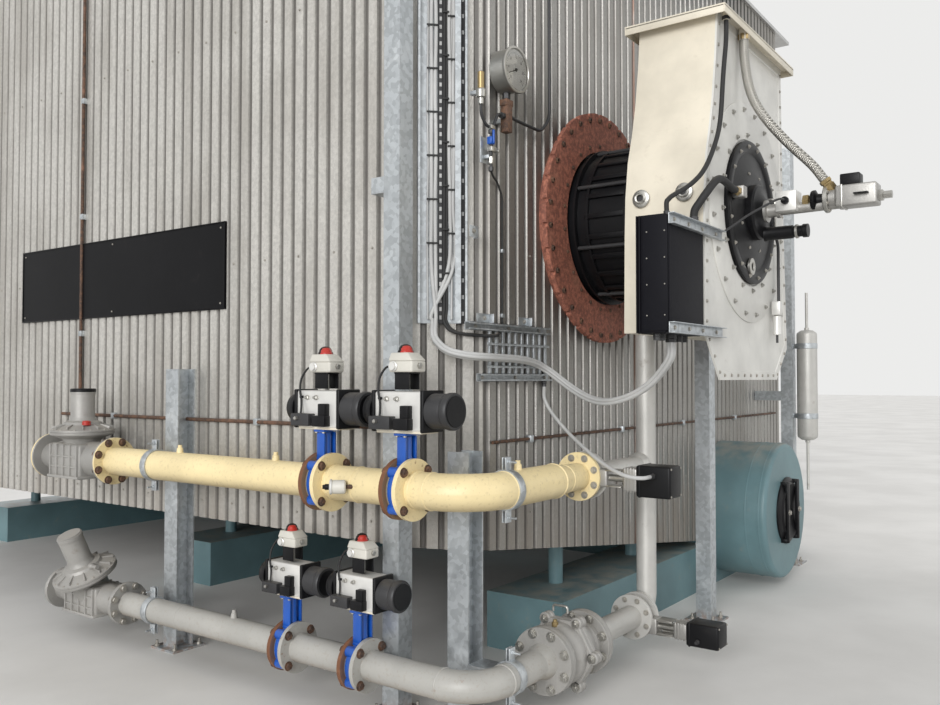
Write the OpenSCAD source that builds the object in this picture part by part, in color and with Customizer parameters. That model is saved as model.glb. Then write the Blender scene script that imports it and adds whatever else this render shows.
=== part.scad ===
// Industrial water-tube boiler with its burner and two gas trains, in millimetres.
// The origin is at floor level under the corner post. X runs along the front, Y to the rear.

/* [Casing] */
// Distance from the corner post's axis to the left wall
wall_x = 100; // [90:5:160]
// Distance from the corner post's axis to the front wall
wall_y = 220; // [200:5:300]
// Width of the casing along the front
casing_w = 5500; // [5200:50:6500]
// Length of the casing from front to rear
casing_l = 6600; // [6000:50:8000]
// Width of the cut corners
corner_cut = 300; // [240:10:340]
// Height of the left wall's lower edge
base_left_z = 770; // [720:10:820]
// Height of the casing's lower edge at the drums
base_right_z = 370; // [350:5:400]
// Width over which the furnace floor falls and the roof rises
slope_w = 3050; // [2900:10:3100]
// Height of the left wall's upper edge
eave_z = 4600; // [4500:10:4700]
// Height of the roof beside the steam drum
ridge_z = 4900; // [4800:10:4950]
// Pitch of the cladding's ribs
rib_pitch = 90; // [70:1:120]
// Depth of the cladding's ribs
rib_depth = 18; // [10:1:25]
// Thickness of the cladding and its insulation board
panel_t = 40; // [30:1:60]
// Thickness of the roof sheet
roof_t = 30; // [20:1:60]

/* [Drums] */
// Distance of both drums' axes from the left wall
drum_x = 3640; // [3600:10:3800]
// Radius of the lower drum
lower_drum_r = 515; // [460:5:540]
// Height of the lower drum's axis
lower_drum_z = 575; // [560:5:620]
// Radius of the steam drum
steam_drum_r = 620; // [580:5:700]
// Height of the steam drum's axis
steam_drum_z = 5360; // [5340:10:5450]
// How far the drums stand out of the front and rear walls
drum_reach = 480; // [360:10:560]
// Thickness of the drum shells
drum_t = 25; // [16:1:40]
// Thickness of the drum ends
drum_end_t = 45; // [30:1:80]
// Radius of the manway covers
manway_r = 255; // [200:5:280]

/* [Base] */
// Width of the saddle beams
beam_w = 510; // [400:10:600]
// Height of the saddle beams
beam_h = 330; // [300:5:345]
// Distance from the left wall to the end of the saddle beams
beam_start = 1000; // [900:10:1200]
// Distance from the right wall to the end of the saddle beams
beam_end = 250; // [200:10:400]
// Radius of the stools between beams and casing
stool_r = 45; // [30:1:60]

/* [Burner] */
// Distance from the left wall to the burner's axis
burner_x = 1450; // [1400:10:1550]
// Height of the burner's axis
burner_z = 2500; // [2450:10:2600]
// Outer radius of the throat ring
ring_r = 690; // [650:5:720]
// Inner radius of the throat ring
ring_bore_r = 460; // [450:5:520]
// Distance from the wall to the throat ring's face
ring_reach = 100; // [80:5:140]
// Thickness of the throat ring
ring_t = 28; // [20:1:40]
// Number of notches round the throat ring
ring_notches = 32; // [16:4:48]
// Outer radius of the burner's register drum
register_r = 430; // [400:5:440]
// Distance from the wall to the windbox's rear plate
windbox_gap = 550; // [540:10:600]
// Depth of the windbox between its plates
windbox_d = 430; // [400:10:460]
// Distance from the burner's axis to the windbox's left side at its top flange
windbox_top_w = 460; // [440:10:480]
// Distance from the burner's axis to the windbox's right side at its top flange
windbox_right_w = 600; // [580:10:620]
// Half width of the windbox at its belly
windbox_belly_w = 665; // [645:5:675]
// Half width of the windbox at its foot
windbox_foot_w = 460; // [445:5:480]
// Height of the windbox
windbox_h = 1880; // [1700:10:2000]
// Distance from the burner's axis down to the windbox's foot
windbox_drop = 913; // [860:1:940]
// Thickness of the windbox plates
plate_t = 10; // [6:1:16]
// Radius of the burner's front cover
cover_r = 390; // [370:5:400]
// Width of the control box
box_w = 430; // [400:5:440]
// Height of the control box
box_h = 540; // [480:10:600]
// Depth of the control box
box_d = 160; // [120:5:200]

/* [Gas trains] */
// Radius of the upper gas pipe
upper_r = 84.1; // [76:0.1:90]
// Height of the upper gas pipe
upper_z = 1090; // [1050:5:1150]
// Radius of the lower gas pipe
lower_r = 69.8; // [57:0.1:76]
// Height of the lower gas pipe
lower_z = 250; // [240:5:260]
// Distance from the corner post's axis out to both pipes
run_x = 145; // [145:1:160]
// Distance from the front wall to the upper pipe
upper_y = 340; // [320:5:360]
// Distance from the front wall to the lower pipe
lower_y = 360; // [320:5:380]
// Radius of the gas riser
riser_r = 57.2; // [48:0.1:62]
// Thickness of the pipe walls
pipe_t = 6; // [4:0.5:8]
// Distance between the upper train's two shut-off valves
upper_gap = 515; // [500:5:560]
// Distance between the lower train's two shut-off valves
lower_gap = 480; // [460:5:500]
// Thickness of a wafer valve
wafer_t = 56; // [50:1:70]
// Thickness of the pipe flanges
flange_t = 22; // [16:1:28]

/* [Posts] */
// Height of the posts in front of the casing
column_h = 3600; // [3400:50:3800]
// Height of the post that carries the upper train
train_post_h = 1650; // [1600:10:1700]
// Side of the corner post
post_a = 100; // [90:1:110]
// Side of the flanged posts
post_b = 120; // [100:1:130]
// Radius of the drain pot
pot_r = 84; // [60:1:90]
// Thickness of the posts' steel
post_t = 9; // [6:0.5:12]
// Side of the square base plates
foot_a = 220; // [200:5:240]
// Thickness of the base plates
foot_t = 12; // [10:1:20]
// Radius of the anchor holes in the base plates
anchor_r = 9; // [7:0.5:11]

/* [Sign board] */
// Length of the sign board
board_l = 2300; // [2000:50:2500]
// Height of the sign board
board_h = 515; // [400:5:600]
// Height of the sign board's lower edge
board_z = 2000; // [1900:10:2100]
// Distance from the front wall to the sign board
board_y = 1606; // [1400:10:1700]

/* [Hidden] */
$fn = 48;
seat = 0.3;
front_y = -wall_y;
rear_y = front_y + casing_l;
right_x = wall_x + casing_w;
drum_axis_x = wall_x + drum_x;
burner_axis_x = wall_x + burner_x;
slope_end_x = wall_x + slope_w;
windbox_rear_y = front_y - windbox_gap;
windbox_front_y = windbox_rear_y - windbox_d;
windbox_foot_z = burner_z - windbox_drop;
windbox_top_z = windbox_foot_z + windbox_h;
upper_run_y = front_y - upper_y;
lower_run_y = front_y - lower_y;
riser_x = burner_axis_x;
beam_x = wall_x + beam_start;
beam_l = casing_w - beam_start - beam_end;
beam_y = [front_y - 50, (front_y + rear_y - beam_w) / 2, rear_y - beam_w + 50];
train_post = [wall_x - rib_depth - seat - post_b / 2, front_y + 1950];
elbow_post = [wall_x + 30, front_y - 90];
burner_post = [burner_axis_x + windbox_right_w + 285, windbox_rear_y + 170];
pot_post = [drum_axis_x + lower_drum_r + 345, windbox_rear_y + 250];
valve_neck = 100;
nozzle_y = [1400, 3300, 4900];
flue_x = drum_axis_x + steam_drum_r + 160;
flue_w = right_x - flue_x - 280;
tray_foot_z = 1870;
box_z = burner_z - 700;
box_x = burner_axis_x - windbox_belly_w - 10 - box_w;
function floor_z(x) = base_left_z
    - (base_left_z - base_right_z) * min(max(x - wall_x, 0), slope_w) / slope_w;

// Routes of the cords, from the fitting they leave to the one they enter
gas_hose_route = [
    [1400, -1230, 3407], [1400, -1230, 3346], [1395, -1235, 3298], [1383, -1248, 3216],
    [1374, -1262, 3151], [1371, -1277, 3100], [1372, -1294, 3056], [1378, -1315, 3013],
    [1389, -1343, 2965], [1408, -1381, 2910], [1436, -1432, 2843], [1462, -1480, 2787],
    [1492, -1534, 2727], [1508.1, -1564.9, 2687.4], [1526.3, -1602.7, 2627.7]];
valve_hose_route = [
    [1180, -1252, 2560], [1136, -1252, 2560], [1094, -1253, 2566], [1044, -1253, 2574],
    [1003, -1253, 2578], [969, -1252, 2577], [942, -1250, 2571], [920, -1248, 2561],
    [899, -1243, 2545], [880, -1236, 2525], [864, -1226, 2502], [853, -1212, 2478],
    [845, -1194, 2449], [841, -1175, 2422], [840, -1168.1, 2405.8], [840, -1165, 2380]];
front_lead_route = [
    [1130, -1230, 3427], [1130, -1230, 3366], [1099, -1238, 3289], [1060, -1243, 3183],
    [1032, -1245, 3075], [1007, -1246, 2945], [982, -1245, 2849], [946, -1242, 2772],
    [888, -1238, 2687], [819, -1232, 2607], [767, -1216, 2552], [714, -1183, 2502],
    [650, -1138, 2456], [630, -1126, 2437], [620, -1120, 2421], [620, -1120, 2380]];
control_bundle_route = [
    [660, -1120, 1765], [660, -1120, 1704], [683, -1075, 1645], [724, -990, 1574],
    [768, -886, 1520], [812, -768, 1485], [852, -660, 1475], [886, -558, 1493], [910, -461, 1534],
    [908, -390, 1580], [880, -338, 1626], [836, -309, 1657], [758, -298, 1681], [619, -296, 1695],
    [457, -296, 1699], [324, -294, 1701], [257, -273, 1704], [208, -228, 1712], [184, -170, 1729],
    [181, -116, 1761], [192.5, -71, 1809], [192.5, -71, 1880]];
valve_lead_route = [
    [945, -253, 1550], [945, -253, 1493], [947, -269, 1452], [944, -296, 1414], [932, -339, 1374],
    [906, -398, 1331], [869, -468, 1289], [827, -541, 1252], [778, -620, 1217], [727, -704, 1183],
    [684, -781, 1156], [649, -855, 1135], [636, -902, 1126], [637, -936, 1121], [647, -960, 1119],
    [662, -977, 1119], [679, -985, 1120], [715, -985, 1120]];

// Shared shapes

module along_y(length) rotate([-90, 0, 0]) linear_extrude(length) children();

module along_x(length) rotate([90, 0, 90]) linear_extrude(length) children();

module rod_x(r, length) rotate([0, 90, 0]) cylinder(r = r, h = length);

module toward(v) rotate([0, acos(v[2] / norm(v)), atan2(v[1], v[0])]) children();

module rod_y(r, length) rotate([-90, 0, 0]) cylinder(r = r, h = length);

module ring_of(count, radius) for (i = [0 : count - 1]) rotate(360 * (i + 0.5) / count)
    translate([radius, 0, 0]) children();

module flange(r, bore_r, t, bolts, bolt_r) difference() {
    cylinder(r = r, h = t);
    translate([0, 0, -1]) cylinder(r = bore_r, h = t + 2);
    ring_of(bolts, (r + bore_r) / 2 + 8) translate([0, 0, -1]) cylinder(r = bolt_r, h = t + 2);
}

module end_view(expand = 0) {
    polygon([[wall_x - expand, -base_left_z], [slope_end_x, -base_right_z],
        [right_x + expand, -base_right_z], [right_x + expand, -ridge_z], [slope_end_x, -ridge_z],
        [wall_x - expand, -eave_z]]);
}

module plan(inset = 0) {
    c = corner_cut;
    x0 = wall_x + inset;
    x1 = right_x - inset;
    y0 = front_y + inset;
    y1 = rear_y - inset;
    k = c - inset * (2 - sqrt(2));
    polygon([[x0, y0 + k], [x0 + k, y0], [x1 - k, y0], [x1, y0 + k], [x1, y1 - k], [x1 - k, y1],
        [x0 + k, y1], [x0, y1 - k]]);
}

// Casing

module drum_spaces() {
    translate([drum_axis_x, front_y - 1000, lower_drum_z]) rod_y(lower_drum_r + seat, casing_l + 2000);
    translate([drum_axis_x, front_y - 1000, steam_drum_z]) rod_y(steam_drum_r + seat, casing_l + 2000);
}

module casing_core() color([0.32, 0.33, 0.33]) difference() {
    intersection() {
        linear_extrude(ridge_z) plan(panel_t);
        translate([0, front_y, 0]) along_y(casing_l) end_view();
    }
    drum_spaces();
}

module ribbed_sheet(length, height) {
    ribs = floor(length / rib_pitch);
    side = (length - ribs * rib_pitch) / 2;
    crest = rib_pitch * 0.31;
    foot = rib_pitch * 0.41;
    edge = [for (i = [0 : ribs - 1], p = [[-foot, 0], [-crest, 1], [crest, 1], [foot, 0]])
        [side + (i + 0.5) * rib_pitch + p[0], -rib_depth * p[1]]];
    linear_extrude(height) polygon(concat([[0, panel_t], [0, 0]], edge, [[length, 0], [length, panel_t]]));
}

module cladding_left() color([0.72, 0.72, 0.70])
    translate([wall_x, rear_y - corner_cut, base_left_z]) rotate(-90)
        ribbed_sheet(casing_l - 2 * corner_cut, eave_z - base_left_z);

module cladding_end() intersection() {
    translate([wall_x + corner_cut, 0, 0]) ribbed_sheet(casing_w - 2 * corner_cut, ridge_z);
    translate([0, -rib_depth - 10, 0]) along_y(panel_t + rib_depth + 20) end_view();
}

module cladding_front() color([0.72, 0.72, 0.70]) difference() {
    translate([0, front_y, 0]) cladding_end();
    drum_spaces();
}

module cladding_rear() color([0.70, 0.70, 0.68]) difference() {
    translate([0, rear_y, 0]) mirror([0, 1, 0]) cladding_end();
    drum_spaces();
}

module cladding_right() color([0.70, 0.70, 0.68])
    translate([right_x, front_y + corner_cut, base_right_z]) rotate(90)
        ribbed_sheet(casing_l - 2 * corner_cut, ridge_z - base_right_z);

module corner_piece() {
    inset = panel_t * sqrt(2);
    width = corner_cut * sqrt(2);
    intersection() {
        translate([wall_x, front_y + corner_cut, 0]) rotate(-45) ribbed_sheet(width, ridge_z);
        linear_extrude(ridge_z) polygon([[wall_x - 40, front_y - 40], [wall_x - 40, front_y + corner_cut],
            [wall_x + inset, front_y + corner_cut], [wall_x + corner_cut, front_y + inset],
            [wall_x + corner_cut, front_y - 40]]);
    }
}

module cladding_corners() color([0.74, 0.74, 0.72]) intersection() {
    union() {
        corner_piece();
        translate([0, front_y + rear_y, 0]) mirror([0, 1, 0]) corner_piece();
        translate([wall_x + right_x, 0, 0]) mirror([1, 0, 0]) {
            corner_piece();
            translate([0, front_y + rear_y, 0]) mirror([0, 1, 0]) corner_piece();
        }
    }
    translate([0, front_y - 50, 0]) along_y(casing_l + 100) end_view(50);
}

module roof() color([0.66, 0.67, 0.66]) difference() {
    translate([0, front_y - 40, 0]) along_y(casing_l + 80)
        polygon([[wall_x - 40, -eave_z], [slope_end_x, -ridge_z], [right_x + 40, -ridge_z],
            [right_x + 40, -ridge_z - roof_t], [slope_end_x, -ridge_z - roof_t],
            [wall_x - 40, -eave_z - roof_t]]);
    drum_spaces();
}

module sign_board() color([0.10, 0.10, 0.11])
    translate([wall_x - rib_depth - 12 - seat, front_y + board_y, board_z]) cube([12, board_l, board_h]);

// Drums

module drum_shell(r, z) translate([drum_axis_x, front_y - drum_reach, z]) rotate([-90, 0, 0])
    difference() {
        cylinder(r = r, h = casing_l + 2 * drum_reach);
        translate([0, 0, -1]) cylinder(r = r - drum_t, h = casing_l + 2 * drum_reach + 2);
    }

module dished_ends(r, z) for (end = [0, 1])
    translate([drum_axis_x, end == 0 ? front_y - drum_reach : rear_y + drum_reach, z])
        rotate([end == 0 ? 90 : -90, 0, 0]) rotate_extrude() polygon(concat([[0, 0], [r, 0], [r, 12]],
            [for (a = [0 : 15 : 90]) [r - 33 + 33 * cos(a), 12 + (drum_end_t - 12) * sin(a)]],
            [[0, drum_end_t]]));

module manway_covers(r, z) for (end = [0, 1])
    translate([drum_axis_x, end == 0 ? front_y - drum_reach - drum_end_t : rear_y + drum_reach + drum_end_t,
        z]) rotate([end == 0 ? 90 : -90, 0, 0]) {
            cylinder(r = r, h = 30);
            translate([0, 0, 30]) cylinder(r = r * 0.72, h = 30);
            for (side = [-1, 1]) translate([side * r * 0.5 - 15, -r * 0.9, 30]) cube([30, r * 1.8, 45]);
        }

module steam_drum() color([0.28, 0.42, 0.46]) drum_shell(steam_drum_r, steam_drum_z);

module lower_drum() color([0.28, 0.42, 0.46]) drum_shell(lower_drum_r, lower_drum_z);

module drum_ends() color([0.28, 0.42, 0.46]) {
    dished_ends(steam_drum_r, steam_drum_z);
    dished_ends(lower_drum_r, lower_drum_z);
}

module drum_manways() color([0.12, 0.12, 0.12]) {
    manway_covers(manway_r, steam_drum_z);
    manway_covers(manway_r, lower_drum_z);
}

// Base

module saddle_beams() color([0.28, 0.44, 0.49]) difference() {
    for (y = beam_y) translate([beam_x, y, 0]) cube([beam_l, beam_w, beam_h]);
    drum_spaces();
}

module stools() color([0.28, 0.44, 0.49]) for (i = [0 : 2], x = [430, 1500, beam_l - 600, beam_l - 200])
    translate([beam_x + x, beam_y[i] + 290, beam_h]) difference() {
        cylinder(r = stool_r, h = base_left_z);
        translate([-beam_x - x, -beam_w, -beam_h]) along_y(2 * beam_w) end_view();
    }

// Burner

module throat_ring() color([0.36, 0.17, 0.14])
    translate([burner_axis_x, front_y - rib_depth, burner_z]) rotate([90, 0, 0]) {
        difference() {
            cylinder(r = ring_r - 60, h = ring_reach - rib_depth - ring_t);
            translate([0, 0, -1]) cylinder(r = ring_bore_r, h = ring_reach);
        }
        translate([0, 0, ring_reach - rib_depth - ring_t]) difference() {
            cylinder(r = ring_r, h = ring_t);
            translate([0, 0, -1]) cylinder(r = ring_bore_r, h = ring_t + 2);
            ring_of(ring_notches, ring_r) translate([0, 0, -1]) cylinder(r = 14, h = ring_t + 2);
        }
    }

module register_drum() color([0.07, 0.07, 0.08])
    translate([burner_axis_x, front_y - rib_depth, burner_z]) rotate([90, 0, 0]) {
        cylinder(r = register_r, h = windbox_gap - rib_depth);
        cylinder(r = ring_bore_r - seat, h = 40);
        for (z = [190, 420]) translate([0, 0, z]) cylinder(r = register_r + 18, h = 14);
    }

function windbox_left() = [[windbox_foot_w, 0], [windbox_belly_w, windbox_h * 0.127],
    [windbox_belly_w - 10, windbox_h * 0.39], [windbox_belly_w - 20, windbox_h * 0.5],
    [windbox_belly_w - 50, windbox_h * 0.6], [windbox_top_w + 105, windbox_h * 0.68],
    [windbox_top_w + 65, windbox_h * 0.76], [windbox_top_w + 25, windbox_h * 0.88],
    [windbox_top_w, windbox_h]];

function windbox_right() = [[windbox_foot_w + 10, 0], [windbox_belly_w + 10, windbox_h * 0.1],
    [windbox_belly_w - 25, windbox_h * 0.39], [windbox_right_w + 20, windbox_h * 0.6],
    [windbox_right_w + 8, windbox_h * 0.8], [windbox_right_w, windbox_h]];

function windbox_ring(t) = let (left = windbox_left(), right = windbox_right(), points = concat(
        [for (p = right) [p[0] - t, p[1]]],
        [for (i = [len(left) - 1 : -1 : 0]) [t - left[i][0], left[i][1]]]))
    [for (p = points) [p[0], t == 0 ? p[1] : p[1] == 0 ? t : p[1] == windbox_h ? windbox_h + 1 : p[1]]];

module windbox_outline() polygon(windbox_ring(0));

module windbox_box() intersection() {
    windbox_outline();
    translate([-windbox_h, windbox_h * 0.127]) square([2 * windbox_h, windbox_h]);
}

module windbox_plate(y) translate([burner_axis_x, y, windbox_foot_z]) rotate([90, 0, 0])
    linear_extrude(plate_t) children();

module windbox_shell() color([0.86, 0.83, 0.74])
    translate([burner_axis_x, windbox_rear_y - plate_t, windbox_foot_z]) rotate([90, 0, 0])
        linear_extrude(windbox_d - 2 * plate_t) difference() {
            windbox_box();
            intersection() {
                polygon(windbox_ring(plate_t));
                translate([-windbox_h, windbox_h * 0.127 + plate_t]) square([2 * windbox_h, windbox_h]);
            }
        }

module windbox_front() color([0.62, 0.63, 0.60]) windbox_plate(windbox_front_y + plate_t)
    windbox_outline();

module windbox_rear() color([0.80, 0.78, 0.70]) windbox_plate(windbox_rear_y)
    windbox_box();

module windbox_flange() color([0.80, 0.79, 0.72])
    translate([burner_axis_x - windbox_top_w - 60, windbox_front_y - 60, windbox_top_z]) {
        difference() {
            cube([windbox_top_w + windbox_right_w + 120, windbox_d + 120, 12]);
            translate([60 + plate_t, 60 + plate_t, -1])
                cube([windbox_top_w + windbox_right_w - 2 * plate_t, windbox_d - 2 * plate_t, 14]);
            for (x = [30, windbox_top_w + windbox_right_w + 90], y = [30, windbox_d + 90])
                translate([x, y, -1]) cylinder(r = 7, h = 14);
        }
        translate([windbox_top_w + 60 - 150, 30, -60]) cylinder(r = 28, h = 60);
        translate([100, 30, -40]) cylinder(r = 18, h = 40);
    }

module burner_cover() color([0.06, 0.06, 0.07])
    translate([burner_axis_x, windbox_front_y, burner_z]) rotate([90, 0, 0]) {
        cylinder(r = cover_r, h = 22);
        translate([0, 0, 22]) cylinder(r = cover_r - 60, h = 30);
        translate([0, 0, 52]) cylinder(r = 150, h = 40);
        translate([-330, 30, 22]) cube([60, 60, 60]);
        translate([-370, 60, 52]) rod_x(24, 41);
    }

module burner_gun() color([0.55, 0.55, 0.54])
    translate([burner_axis_x, windbox_front_y - 92, burner_z]) rotate([90, 0, 0]) {
        cylinder(r = 60, h = 120);
        translate([0, 0, 120]) cylinder(r = 85, h = 22);
        translate([0, 0, 142]) cylinder(r = 48, h = 170);
        translate([0, 0, 312]) cylinder(r = 80, h = 20);
        translate([-60, -60, 332]) cube([120, 120, 240]);
        translate([-40, 60, 380]) cube([80, 45, 100]);
        translate([0, 0, 572]) cylinder(r = 20, h = 60);
        translate([0, 50, 360]) toward([-0.25, 0.82, -0.52]) cylinder(r = 32, h = 95);
    }

module control_box() color([0.07, 0.07, 0.08])
    translate([box_x, windbox_front_y, box_z]) {
        cube([box_w, box_d, box_h]);
        translate([box_w - 35, 35, box_h]) cylinder(r = 24, h = 40);
        translate([175, 80, box_h]) cylinder(r = 16, h = 40);
        translate([215, 80, -35]) cylinder(r = 26, h = 35);
        for (z = [0, box_h - 50]) translate([0, -30, z]) cube([box_w + 235, 30, 50]);
    }

// Gas trains

module bend(r, bend_r) rotate_extrude(angle = 90) translate([bend_r, 0]) circle(r = r);

module gas_riser() color([0.62, 0.62, 0.61]) {
    bend_r = 110;
    translate([riser_x - bend_r, lower_run_y, lower_z + bend_r]) rotate([90, 0, 0]) rotate(-90)
        bend(riser_r, bend_r);
    difference() {
        translate([riser_x, lower_run_y, lower_z + bend_r])
            cylinder(r = riser_r, h = burner_z - register_r - lower_z - bend_r + 20);
        translate([burner_axis_x, windbox_rear_y, burner_z]) rod_y(register_r, windbox_gap);
    }
    translate([riser_x - bend_r - flange_t, lower_run_y, lower_z]) rotate([0, 90, 0])
        cylinder(r = 125, h = flange_t);
}

module pipe_run(r, z, y, bend_r, start_y, end_x) {
    translate([-run_x, y + bend_r, z]) rod_y(r, start_y - y - bend_r);
    translate([-run_x + bend_r, y + bend_r, z]) rotate(180) bend(r, bend_r);
    translate([-run_x + bend_r, y, z]) rod_x(r, end_x + run_x - bend_r);
}

upper_bend_r = 229;
lower_bend_r = 190;
valve_y = upper_run_y + upper_bend_r + valve_neck + flange_t + wafer_t / 2;
lower_valve_y = valve_y + 270;
upper_reg_y = front_y + 2360;
lower_reg_y = front_y + 2200;
upper_end_x = wall_x + 670;
filter_x = wall_x + 275;

module valve_slots(first_y, gap, z, r) for (i = [0, 1])
    translate([-run_x, first_y + i * gap - wafer_t / 2, z]) rod_y(r + 60, wafer_t);

module valve_flanges(first_y, gap, z, r) for (i = [0, 1], side = [-1, 1])
    translate([-run_x, first_y + i * gap + (side < 0 ? -wafer_t / 2 - flange_t : wafer_t / 2), z])
        rod_y(r, flange_t);

module upper_pipe() color([0.93, 0.84, 0.55]) {
    difference() {
        pipe_run(upper_r, upper_z, upper_run_y, upper_bend_r, upper_reg_y, upper_end_x - 250);
        valve_slots(valve_y, upper_gap, upper_z, upper_r);
    }
    translate([upper_end_x - 250, upper_run_y, upper_z]) rotate([0, 90, 0]) {
        cylinder(r1 = upper_r, r2 = lower_r, h = 100);
        translate([0, 0, 100]) cylinder(r = lower_r, h = 150);
    }
    valve_flanges(valve_y, upper_gap, upper_z, 142);
    translate([upper_end_x, upper_run_y, upper_z]) rotate([0, 90, 0]) cylinder(r = 125, h = flange_t);
}

module wafer_valve(r) {
    rod_y(r, wafer_t);
    translate([0, wafer_t / 2, 0]) cylinder(r = 22, h = 250);
    translate([-60, wafer_t / 2 - 35, 245]) cube([120, 70, 12]);
}

module upper_valves() color([0.05, 0.30, 0.80]) for (i = [0, 1])
    translate([-run_x, valve_y + i * upper_gap - wafer_t / 2, upper_z]) wafer_valve(105);

module actuator() {
    translate([-60, -130, 0]) cube([120, 260, 170]);
    translate([0, -130, 85]) rotate([90, 0, 0]) cylinder(r = 70, h = 110);
    translate([0, 130, 85]) rotate([-90, 0, 0]) cylinder(r = 70, h = 60);
    translate([-30, -40, 170]) cube([60, 80, 60]);
    translate([-45, -60, 230]) cube([90, 120, 80]);
    translate([0, 0, 310]) cylinder(r = 32, h = 30);
}

module upper_actuators() color([0.75, 0.75, 0.74]) for (i = [0, 1])
    translate([-run_x, valve_y + i * upper_gap, upper_z + 257]) scale(1.2) actuator();

module regulator(pipe_r, flange_r, bolt_ring_r, bolt_r, tilt) {
    rod_y(flange_r, 26);
    translate([0, 700, 0]) rotate([-90, 0, 0]) difference() {
        cylinder(r = flange_r, h = 26);
        translate([0, 0, 4]) cylinder(r = pipe_r - pipe_t, h = 26);
        ring_of(8, bolt_ring_r) translate([0, 0, -1]) cylinder(r = bolt_r, h = 28);
    }
    translate([0, 26, 0]) rod_y(pipe_r, 674);
    translate([0, 190, 0]) rod_y(pipe_r * 1.5, 346);
    translate([0, 363, 0]) rotate([0, tilt, 0]) {
        cylinder(r = 120, h = 150);
        translate([0, 0, 150]) cylinder(r = 190, h = 30);
        translate([0, 0, 180]) cylinder(r = 120, h = 50);
        translate([0, 0, 230]) cylinder(r = 72, h = 200);
    }
}

module upper_regulator() color([0.55, 0.55, 0.54])
    translate([-run_x, upper_reg_y, upper_z]) regulator(upper_r, 142.5, 120, 11, 0);

module control_valve(r, box_h, drop) {
    rod_x(r, wafer_t);
    translate([wafer_t / 2, -r + 10, -drop]) rotate([90, 0, 0]) cylinder(r = 18, h = 250 - r + 10);
    translate([wafer_t / 2 - 45, -330, -box_h / 2 + 12 - drop]) cube([90, 80, box_h - 24]);
    translate([wafer_t / 2 - 70, -520, -box_h / 2 - drop]) cube([140, 190, box_h]);
}

module upper_control_valve() color([0.45, 0.45, 0.46]) {
    translate([upper_end_x + flange_t, upper_run_y, upper_z]) {
        control_valve(110, 160, 0);
        translate([wafer_t / 2 - 105, -425, 30]) rod_x(14, 36);
        translate([wafer_t, 0, 0]) rod_x(125, flange_t);
        difference() {
            translate([wafer_t + flange_t, 0, 0])
                rod_x(riser_r - 2, riser_x - upper_end_x - flange_t - wafer_t - flange_t);
            translate([riser_x - upper_end_x - flange_t, 0, -upper_z])
                cylinder(r = riser_r, h = 2 * upper_z);
        }
    }
}

module lower_pipe() color([0.66, 0.66, 0.64]) {
    difference() {
        pipe_run(lower_r, lower_z, lower_run_y, lower_bend_r, lower_reg_y, filter_x - 60);
        valve_slots(lower_valve_y, lower_gap, lower_z, lower_r);
    }
    valve_flanges(lower_valve_y, lower_gap, lower_z, 125);
    translate([filter_x - 60, lower_run_y, lower_z]) rotate([0, 90, 0])
        cylinder(r1 = lower_r, r2 = 85, h = 60);
}

module lower_valves() color([0.05, 0.30, 0.80]) for (i = [0, 1])
    translate([-run_x, lower_valve_y + i * lower_gap - wafer_t / 2, lower_z]) wafer_valve(90);

module lower_actuators() color([0.75, 0.75, 0.74]) for (i = [0, 1])
    translate([-run_x, lower_valve_y + i * lower_gap, lower_z + 257]) scale(1.05) actuator();

module lower_regulator() color([0.55, 0.55, 0.54])
    translate([-run_x, lower_reg_y, lower_z]) regulator(lower_r, 125, 105, 9, -24);

module gas_filter() color([0.60, 0.60, 0.58]) translate([filter_x, lower_run_y, lower_z]) {
    rod_x(160, 50);
    translate([50, 0, 0]) rod_x(118, 60);
    translate([110, 0, 0]) rod_x(150, 60);
    translate([170, 0, 0]) rod_x(168, 60);
    for (a = [0 : 60 : 300]) translate([170, 0, 0]) rotate([a, 0, 0]) translate([0, 176, 0]) rod_x(30, 60);
    translate([230, 0, 0]) rod_x(150, 60);
    translate([290, 0, 0]) rod_x(118, 90);
    translate([380, 0, 0]) rod_x(160, 50);
    translate([430, 0, 0]) rod_x(65, riser_x - 110 - 2 * flange_t - wafer_t - filter_x - 430);
    translate([riser_x - 110 - 2 * flange_t - wafer_t - filter_x, 0, 0]) rod_x(125, flange_t);
}

module lower_control_valve() color([0.45, 0.45, 0.46])
    translate([riser_x - 110 - flange_t - wafer_t, lower_run_y, lower_z]) control_valve(100, 130, 35);

// Posts

module post_foot(anchors = 70) difference() {
    translate([-foot_a / 2, -foot_a / 2, 0]) cube([foot_a, foot_a, foot_t]);
    for (x = [-1, 1], y = [-1, 1]) translate([x * anchors, y * anchors, -1])
        cylinder(r = anchor_r, h = foot_t + 2);
}

module corner_post() color([0.70, 0.73, 0.74]) {
    post_foot();
    for (z = [1000, 2500, 4300]) translate([-40, post_a / 2, z])
        cube([wall_x - rib_depth + 40, 90, 80]);
    translate([0, 0, foot_t]) linear_extrude(eave_z - foot_t) difference() {
        square(post_a, center = true);
        square(post_a - 2 * post_t, center = true);
    }
}

module flanged_post(height) {
    post_foot(85);
    translate([0, 0, foot_t]) linear_extrude(height - foot_t) {
        for (side = [-1, 1]) translate([side * (post_b - post_t) / 2, 0])
            square([post_t, post_b], center = true);
        square([post_b, post_t], center = true);
    }
}

module train_posts() color([0.72, 0.74, 0.75]) {
    translate([train_post[0], train_post[1], 0]) flanged_post(train_post_h);
    translate([elbow_post[0], elbow_post[1], 0]) flanged_post(1250);
}

module burner_post_frame() color([0.60, 0.62, 0.62])
    translate([burner_post[0], burner_post[1], 0]) {
        post_foot();
        translate([0, 0, foot_t]) linear_extrude(column_h - foot_t) difference() {
            square(post_a, center = true);
            square(post_a - 2 * post_t, center = true);
        }
        translate([-900, -post_a / 2 - 80, burner_z - 620]) cube([950, 80, 120]);
        for (x = [-865, -400]) translate([x, windbox_rear_y - burner_post[1], burner_z - 620])
            cube([80, burner_post[1] - windbox_rear_y - post_a / 2 - 80, 120]);
    }

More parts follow.
